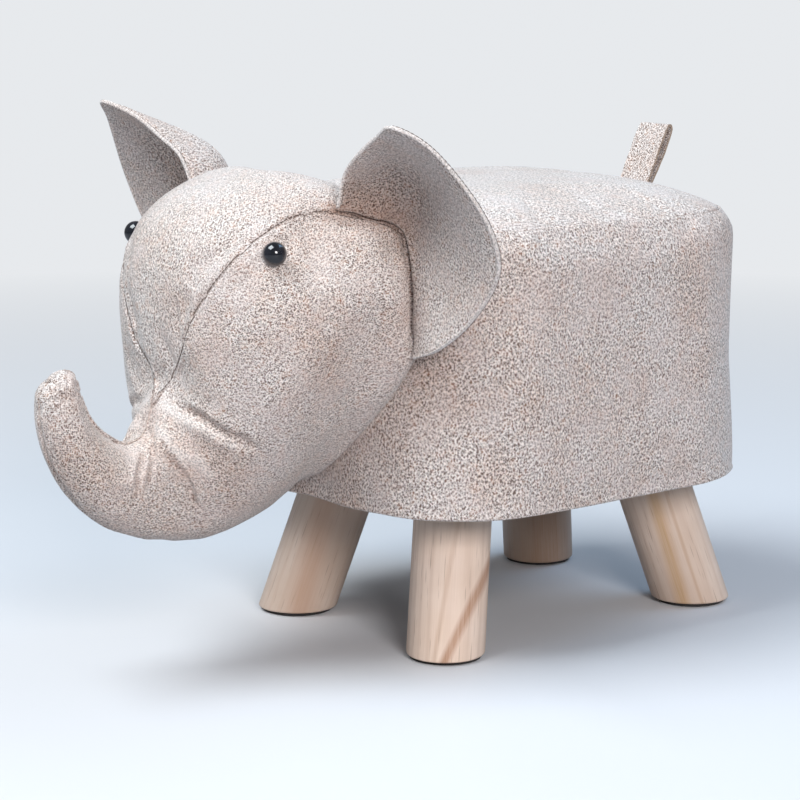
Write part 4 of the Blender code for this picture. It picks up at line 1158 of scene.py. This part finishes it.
ears, earThreads = {}, {}
forward = Vector((0, -1, 0))
for name, sign in (("left", 1), ("right", -1)):
    ears[name], rimLine, stitchLine, rootLine = makeEar("ear_" + name, sign)
    tree = treeOf(ears[name])
    behindRim = [point - forward * 1.6 * mm for point in rimLine]
    earThreads[name] = [
        sewn("ear_topstitch_" + name, stitchLine[3:-3], tree, "earTop", away=forward),
        sewn("ear_edge_thread_" + name, behindRim[3:-3], tree, "earEdge", away=-forward),
    ]
    root = smoothPath(rootLine, 3)[:3 * (len(rootLine) // 2) + 1]
    seamThreads.append(sewn("ear_root_thread_" + name, root, headTree, "earRoot"))
print("ears made")


# eyes: glossy balls

eye = {
    "radius": 6.7 * mm, "stand": 3.0 * mm, "arcSteps": 24, "arc": 0.86, "turns": 48,
    # the shank behind the ball, as radius and height
    "shank": [(2.4 * mm, 0.4 * mm), (2.0 * mm, -0.5 * mm), (2.0 * mm, -12 * mm), (0.0, -12 * mm)],
}
eyeBlack = makeEyeBlack("eyeBlack")
eyes = {}
for name in ("left", "right"):
    washer = [Vector(corner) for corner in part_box("eye_washer_" + name)]
    behind = (washer[0] + washer[1]) / 2
    farthest = max((v.co for v in bpy.data.objects["eye_" + name].data.vertices), key=lambda p: (p - behind).length)
    outward = (farthest - behind).normalized()
    angles = [math.pi * i / eye["arcSteps"] * eye["arc"] for i in range(eye["arcSteps"] + 1)]
    profile = [(eye["radius"] * math.sin(a), eye["stand"] + eye["radius"] * math.cos(a)) for a in angles]
    bm = bmesh.new()
    verts = [bm.verts.new((radius, 0, height)) for radius, height in profile + eye["shank"]]
    for pair in zip(verts, verts[1:]):
        bm.edges.new(pair)
    bmesh.ops.spin(bm, geom=bm.verts[:] + bm.edges[:], cent=(0, 0, 0), axis=(0, 0, 1), angle=2 * math.pi,
                   steps=eye["turns"], use_merge=True)
    foot = farthest - outward * (eye["radius"] + eye["stand"])
    stance = Matrix.Translation(foot) @ outward.to_track_quat("Z", "Y").to_matrix().to_4x4()
    bmesh.ops.transform(bm, matrix=stance, verts=bm.verts)
    eyes[name] = finishPiece("eye_ball_" + name, bm, [eyeBlack], smooth=50)
print("eyes made")


# tail: a strap folded in a loop, sewn in the rear seam; reach and height in shares

tail = {
    "width": 25 * mm, "height": 43 * mm, "reach": 24 * mm, "thick": 1.4 * mm, "foot": (0, 0.2105, 0.2506),
    "pitch": 0.9 * mm, "columns": 14, "waver": 0.55 * mm, "narrow": 0.035,
    "outline": [(0.00, 0.009), (0.11, 0.20), (0.33, 0.45), (0.56, 0.72), (0.80, 0.96), (0.90, 1.00), (0.97, 0.985),
                (1.00, 0.94), (0.98, 0.87), (0.78, 0.62), (0.54, 0.38), (0.31, 0.17), (0.15, 0.02)],
}
strapEdge = makeFelt("strapEdge", (0.30, 0.20, 0.14), (0.55, 0.44, 0.35))
clothTail = makeCloth("tailCloth", turn=45, patchy=0.6)


def makeTail():
    path = [Vector((0, reach * tail["reach"], height * tail["height"])) for reach, height in tail["outline"]]
    fine = evenSteps(smoothPath(path, 8), tail["pitch"])
    last = len(fine) - 1
    bm = bmesh.new()
    row = bm.verts.layers.int.new("row")
    grid = bmesh.ops.create_grid(bm, x_segments=tail["columns"], y_segments=last, size=0.5)["verts"]
    for vert in grid:
        r = vert[row] = round((vert.co.y + 0.5) * last)
        wave = noise.noise(Vector((vert.co.x * 2.2, r * 0.11, 5))) * tail["waver"]
        width = tail["width"] * (1 - tail["narrow"] * (bell(r, 9) + bell(last - r, 9)))
        vert.co = fine[r] + Vector((vert.co.x * width, wave, wave * 0.4)) + Vector(tail["foot"])
    layFlat(bm, lambda vert, face: (vert.co.x, vert[row] * tail["pitch"]))
    bm.normal_update()
    if sum(f.normal.y * (-1 if f.calc_center_median().y < tail["foot"][1] + 8 * mm else 1) for f in bm.faces) < 0:
        bmesh.ops.reverse_faces(bm, faces=bm.faces)
    bmesh.ops.solidify(bm, geom=bm.faces[:], thickness=tail["thick"])
    bm.normal_update()
    for face in bm.faces:
        face.material_index = int(abs(face.normal.x) > 0.8)
    return finishPiece("tail_strap", bm, [clothTail, strapEdge], smooth=50)


tailStrap = makeTail()
print("tail made")


# legs: round pine, sawn level at both ends

leg = {
    "radius": 23 * mm, "sides": 96, "bottom": 1.8 * mm, "top": 89.6 * mm, "ease": 1.5 * mm, "bolt": 4.3 * mm,
    "boltDepth": 31 * mm, "middle": 96.5 * mm,
    # the places of foot and top, out to the side and out to front or rear
    "footOut": (70.5 * mm, 102 * mm), "topOut": (51 * mm, 79 * mm),
    # streaks down the leg: the way it faces, lean, half width, colour and strength
    "streaks": {
        "front_left": [(-0.60, 0.42, 4.2 * mm, (0.45, 0.22, 0.12), 0.95),
                       (-0.95, 0.12, 2.0 * mm, (0.58, 0.38, 0.26), 0.5)],
        "front_right": [(-0.6, -0.1, 11 * mm, (0.60, 0.36, 0.24), 0.75)],
        "rear_left": [(-0.95, 0.05, 6 * mm, (0.62, 0.37, 0.17), 0.85),
                      (-0.45, 0.0, 1.6 * mm, (0.55, 0.33, 0.18), 0.6)],
        # the wide dark streak of the rear right leg is a painted shadow from the seat over it
        "rear_right": [(-0.5, 0.02, 26 * mm, (0.40, 0.23, 0.14), 0.85)],
    },
    "knots": {"rear_right": [((-0.0375, 0.160, 0.080), 2.6 * mm), ((-0.0240, 0.186, 0.081), 2.2 * mm)]},
    # brightness of each leg: painted light and shade, brighter on the lit front left leg, darker on the front right
    # and rear right legs in shade under the seat
    "tone": {"front_left": 1.11, "front_right": 0.9, "rear_left": 1.0, "rear_right": 0.74},
}


def makeLeg(corner, sx, sy):
    foot, top = (Vector((sx * x, leg["middle"] + sy * y, height)) for (x, y), height in (
        (leg["footOut"], leg["bottom"]), (leg["topOut"], leg["top"])))
    bm = bmesh.new()
    bmesh.ops.create_cone(bm, cap_ends=True, segments=leg["sides"], radius1=leg["radius"], radius2=leg["radius"],
                          depth=(top - foot).length + 4 * leg["radius"])
    along = (top - foot).normalized()
    bmesh.ops.rotate(bm, cent=(0, 0, 0), matrix=along.to_track_quat("Z", "Y").to_matrix(), verts=bm.verts)
    bmesh.ops.translate(bm, vec=(foot + top) / 2, verts=bm.verts)
    for height, way in ((leg["bottom"], -1), (leg["top"], 1)):
        bmesh.ops.bisect_plane(bm, geom=bm.verts[:] + bm.edges[:] + bm.faces[:], plane_co=(0, 0, height),
                               plane_no=(0, 0, way), clear_outer=True)
        end = bmesh.ops.edgeloop_fill(bm, edges=[e for e in bm.edges if e.is_boundary])["faces"]
        if way < 0:
            bmesh.ops.bevel(bm, geom=list(end[0].edges), offset=leg["ease"], segments=3, profile=0.5,
                            affect="EDGES", material=-1)
            continue
        # the hole for the hanger bolt
        bmesh.ops.inset_region(bm, faces=end, thickness=leg["radius"] - leg["bolt"], use_even_offset=True)
        for vert in end[0].verts:
            vert.co = top + Vector((vert.co.x - top.x, vert.co.y - top.y, 0)).normalized() * leg["bolt"]
        shaft = bmesh.ops.extrude_face_region(bm, geom=end)["geom"]
        for vert in [v for v in shaft if isinstance(v, bmesh.types.BMVert)]:
            vert.co.z -= leg["boltDepth"]
        if end[0].is_valid:
            bmesh.ops.delete(bm, geom=end, context="FACES_ONLY")
    material = makePine("pine_" + corner, along, foot, leg["streaks"][corner], leg["knots"].get(corner, []),
                        leg["tone"][corner])
    return finishPiece("pine_leg_" + corner, bm, [material], smooth=35)


legs = {}
for corner, sx, sy in (("front_left", 1, -1), ("front_right", -1, -1), ("rear_left", 1, 1), ("rear_right", -1, 1)):
    legs[corner] = makeLeg(corner, sx, sy)
print("legs made")


# CAD nodes that stay get their finishes

plywood = makeBoard("plywood", (0.68, 0.52, 0.35), (0.55, 0.39, 0.24), layers=2.6 * mm)
postPine = makeBoard("postPine", (0.78, 0.62, 0.44), (0.66, 0.48, 0.31), grain=(700, 700, 25))
fibreboard = makeBoard("fibreboard", (0.36, 0.25, 0.16), (0.28, 0.19, 0.12), grain=(500, 500, 500))
steel = makeSteel("zincSteel")
dustCloth = makeDustCloth("dustCloth")
padFelt = makeFelt("padFelt", (0.020, 0.018, 0.018), (0.055, 0.050, 0.048))
washerPlastic = makeFelt("washerPlastic", (0.70, 0.69, 0.66), (0.80, 0.79, 0.77))

finishOf = {
    "seat_board": plywood, "base_board": plywood, "side_wall": fibreboard, "dust_cover": dustCloth,
    "frame_post": postPine, "seat_board_screw": steel, "base_board_screw": steel, "leg_bolt": steel, "t_nut": steel,
    "hem_staple": steel, "foot_pad": padFelt, "eye_washer": washerPlastic,
}
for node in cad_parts:
    best = max((key for key in finishOf if node.startswith(key)), key=len, default=None)
    piece = bpy.data.objects.get(node)
    if best and piece:
        piece.data.materials.clear()
        piece.data.materials.append(finishOf[best])
print("CAD nodes finished")


# what rides on what

for piece in (seatPad, sideCover, headPiece, *seamThreads, *eyes.values(), *legs.values()):
    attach(piece, "stool")
for side, sign in (("left", 1), ("right", -1)):
    # the ear's bend, in its first centimetres from the seam that holds it, is worked out but not used: the ear and its
    # threads are baked where they stand
    joint, outward = (Vector((sign * x, y, z)) for x, y, z in (ear["hinge"], ear["outward"]))
    for piece in (ears[side], *earThreads[side]):
        tuple(joint + outward * ear["bend"][0])
        tuple(joint + outward * ear["bend"][1])
        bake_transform(piece)
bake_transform(tailStrap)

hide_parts("seat_foam", "seat_cover_top")
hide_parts("side_foam", "seat_cover_side")
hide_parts("head_stuffing", "trunk_stuffing", "forehead_panel", "head_panel_left", "head_panel_right")
for side in ("left", "right"):
    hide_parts("ear_inner_" + side, "ear_outer_" + side)
    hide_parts("eye_" + side)
for corner, piece in legs.items():
    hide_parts("leg_" + corner)
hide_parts("tail_loop")


# stage and light

light = {
    "target": (0, 0.03, 0.15),
    # place, size, power and colour
    "lamps": {
        "overhead": ((-0.3, -1.1, 2.1), (1.4, 1.2), 52, (0.91, 0.985, 1.03)),
        "window": ((0.4, 1.5, 1.8), (1.4, 1.2), 11, (0.60, 0.95, 1.35)),
        "side": ((2.3, -0.95, 1.2), (0.9, 0.8), 41, (1.0, 0.965, 0.955)),
    },
    "far": (0.80, 0.82, 0.845), "fill": (0.92, 0.95, 1.0), "fillStrength": 0.22,
    "floor": (0.74, 0.75, 0.78), "floorBounce": (0.42, 0.425, 0.45), "floorFades": (0.45, 1.7),
}
for name, (place, size, power, colour) in light["lamps"].items():
    data = bpy.data.lights.new(name, "AREA")
    data.shape = "RECTANGLE"
    data.size, data.size_y = size
    data.energy = power
    data.color = colour
    aimed(bpy.data.objects.new(name, data), place, light["target"])

world = bpy.data.worlds.new("studio")
scene.world = world
world.use_nodes = True
sky = world.node_tree
seen = addNode(sky, "ShaderNodeLightPath", outlet="Is Camera Ray")
dim = addNode(sky, "ShaderNodeBackground", Color=light["fill"], Strength=light["fillStrength"])
far = addNode(sky, "ShaderNodeBackground", Color=light["far"], Strength=1.0)
chosen = addNode(sky, "ShaderNodeMixShader", slots={0: seen, 1: dim, 2: far})
sky.links.new(chosen.socket, sky.nodes["World Output"].inputs["Surface"])

# the floor turns into the plain backdrop with distance, for the camera alone
bm = bmesh.new()
bmesh.ops.create_grid(bm, x_segments=1, y_segments=1, size=30)
bmesh.ops.translate(bm, vec=(0, 0, -0.2 * mm), verts=bm.verts)
paleFloor = Finish("paleFloor", Roughness=0.6)
seenDirect = paleFloor.node("ShaderNodeLightPath", outlet="Is Camera Ray")
tone = paleFloor.mix(paleFloor.noise(paleFloor.object, 6.0, 4.0), light["floor"], [c + 0.02 for c in light["floor"]])
paleFloor.wear(paleFloor.mix(seenDirect, light["floorBounce"], tone))
away = paleFloor.node("ShaderNodeVectorMath", {"operation": "LENGTH"}, "Value", Vector=paleFloor.object)
share = paleFloor.ramp(away, *light["floorFades"]) * seenDirect
near = Flow(paleFloor.tree, paleFloor.shader.outputs[0])
backdrop = paleFloor.node("ShaderNodeEmission", Color=light["far"], Strength=1.0)
blend = paleFloor.node("ShaderNodeMixShader", slots={0: share, 1: near, 2: backdrop})
paleFloor.tree.links.new(blend.socket, paleFloor.tree.nodes["Material Output"].inputs["Surface"])
floor = finishPiece("floor", bm, [paleFloor.material])

print("stage set")
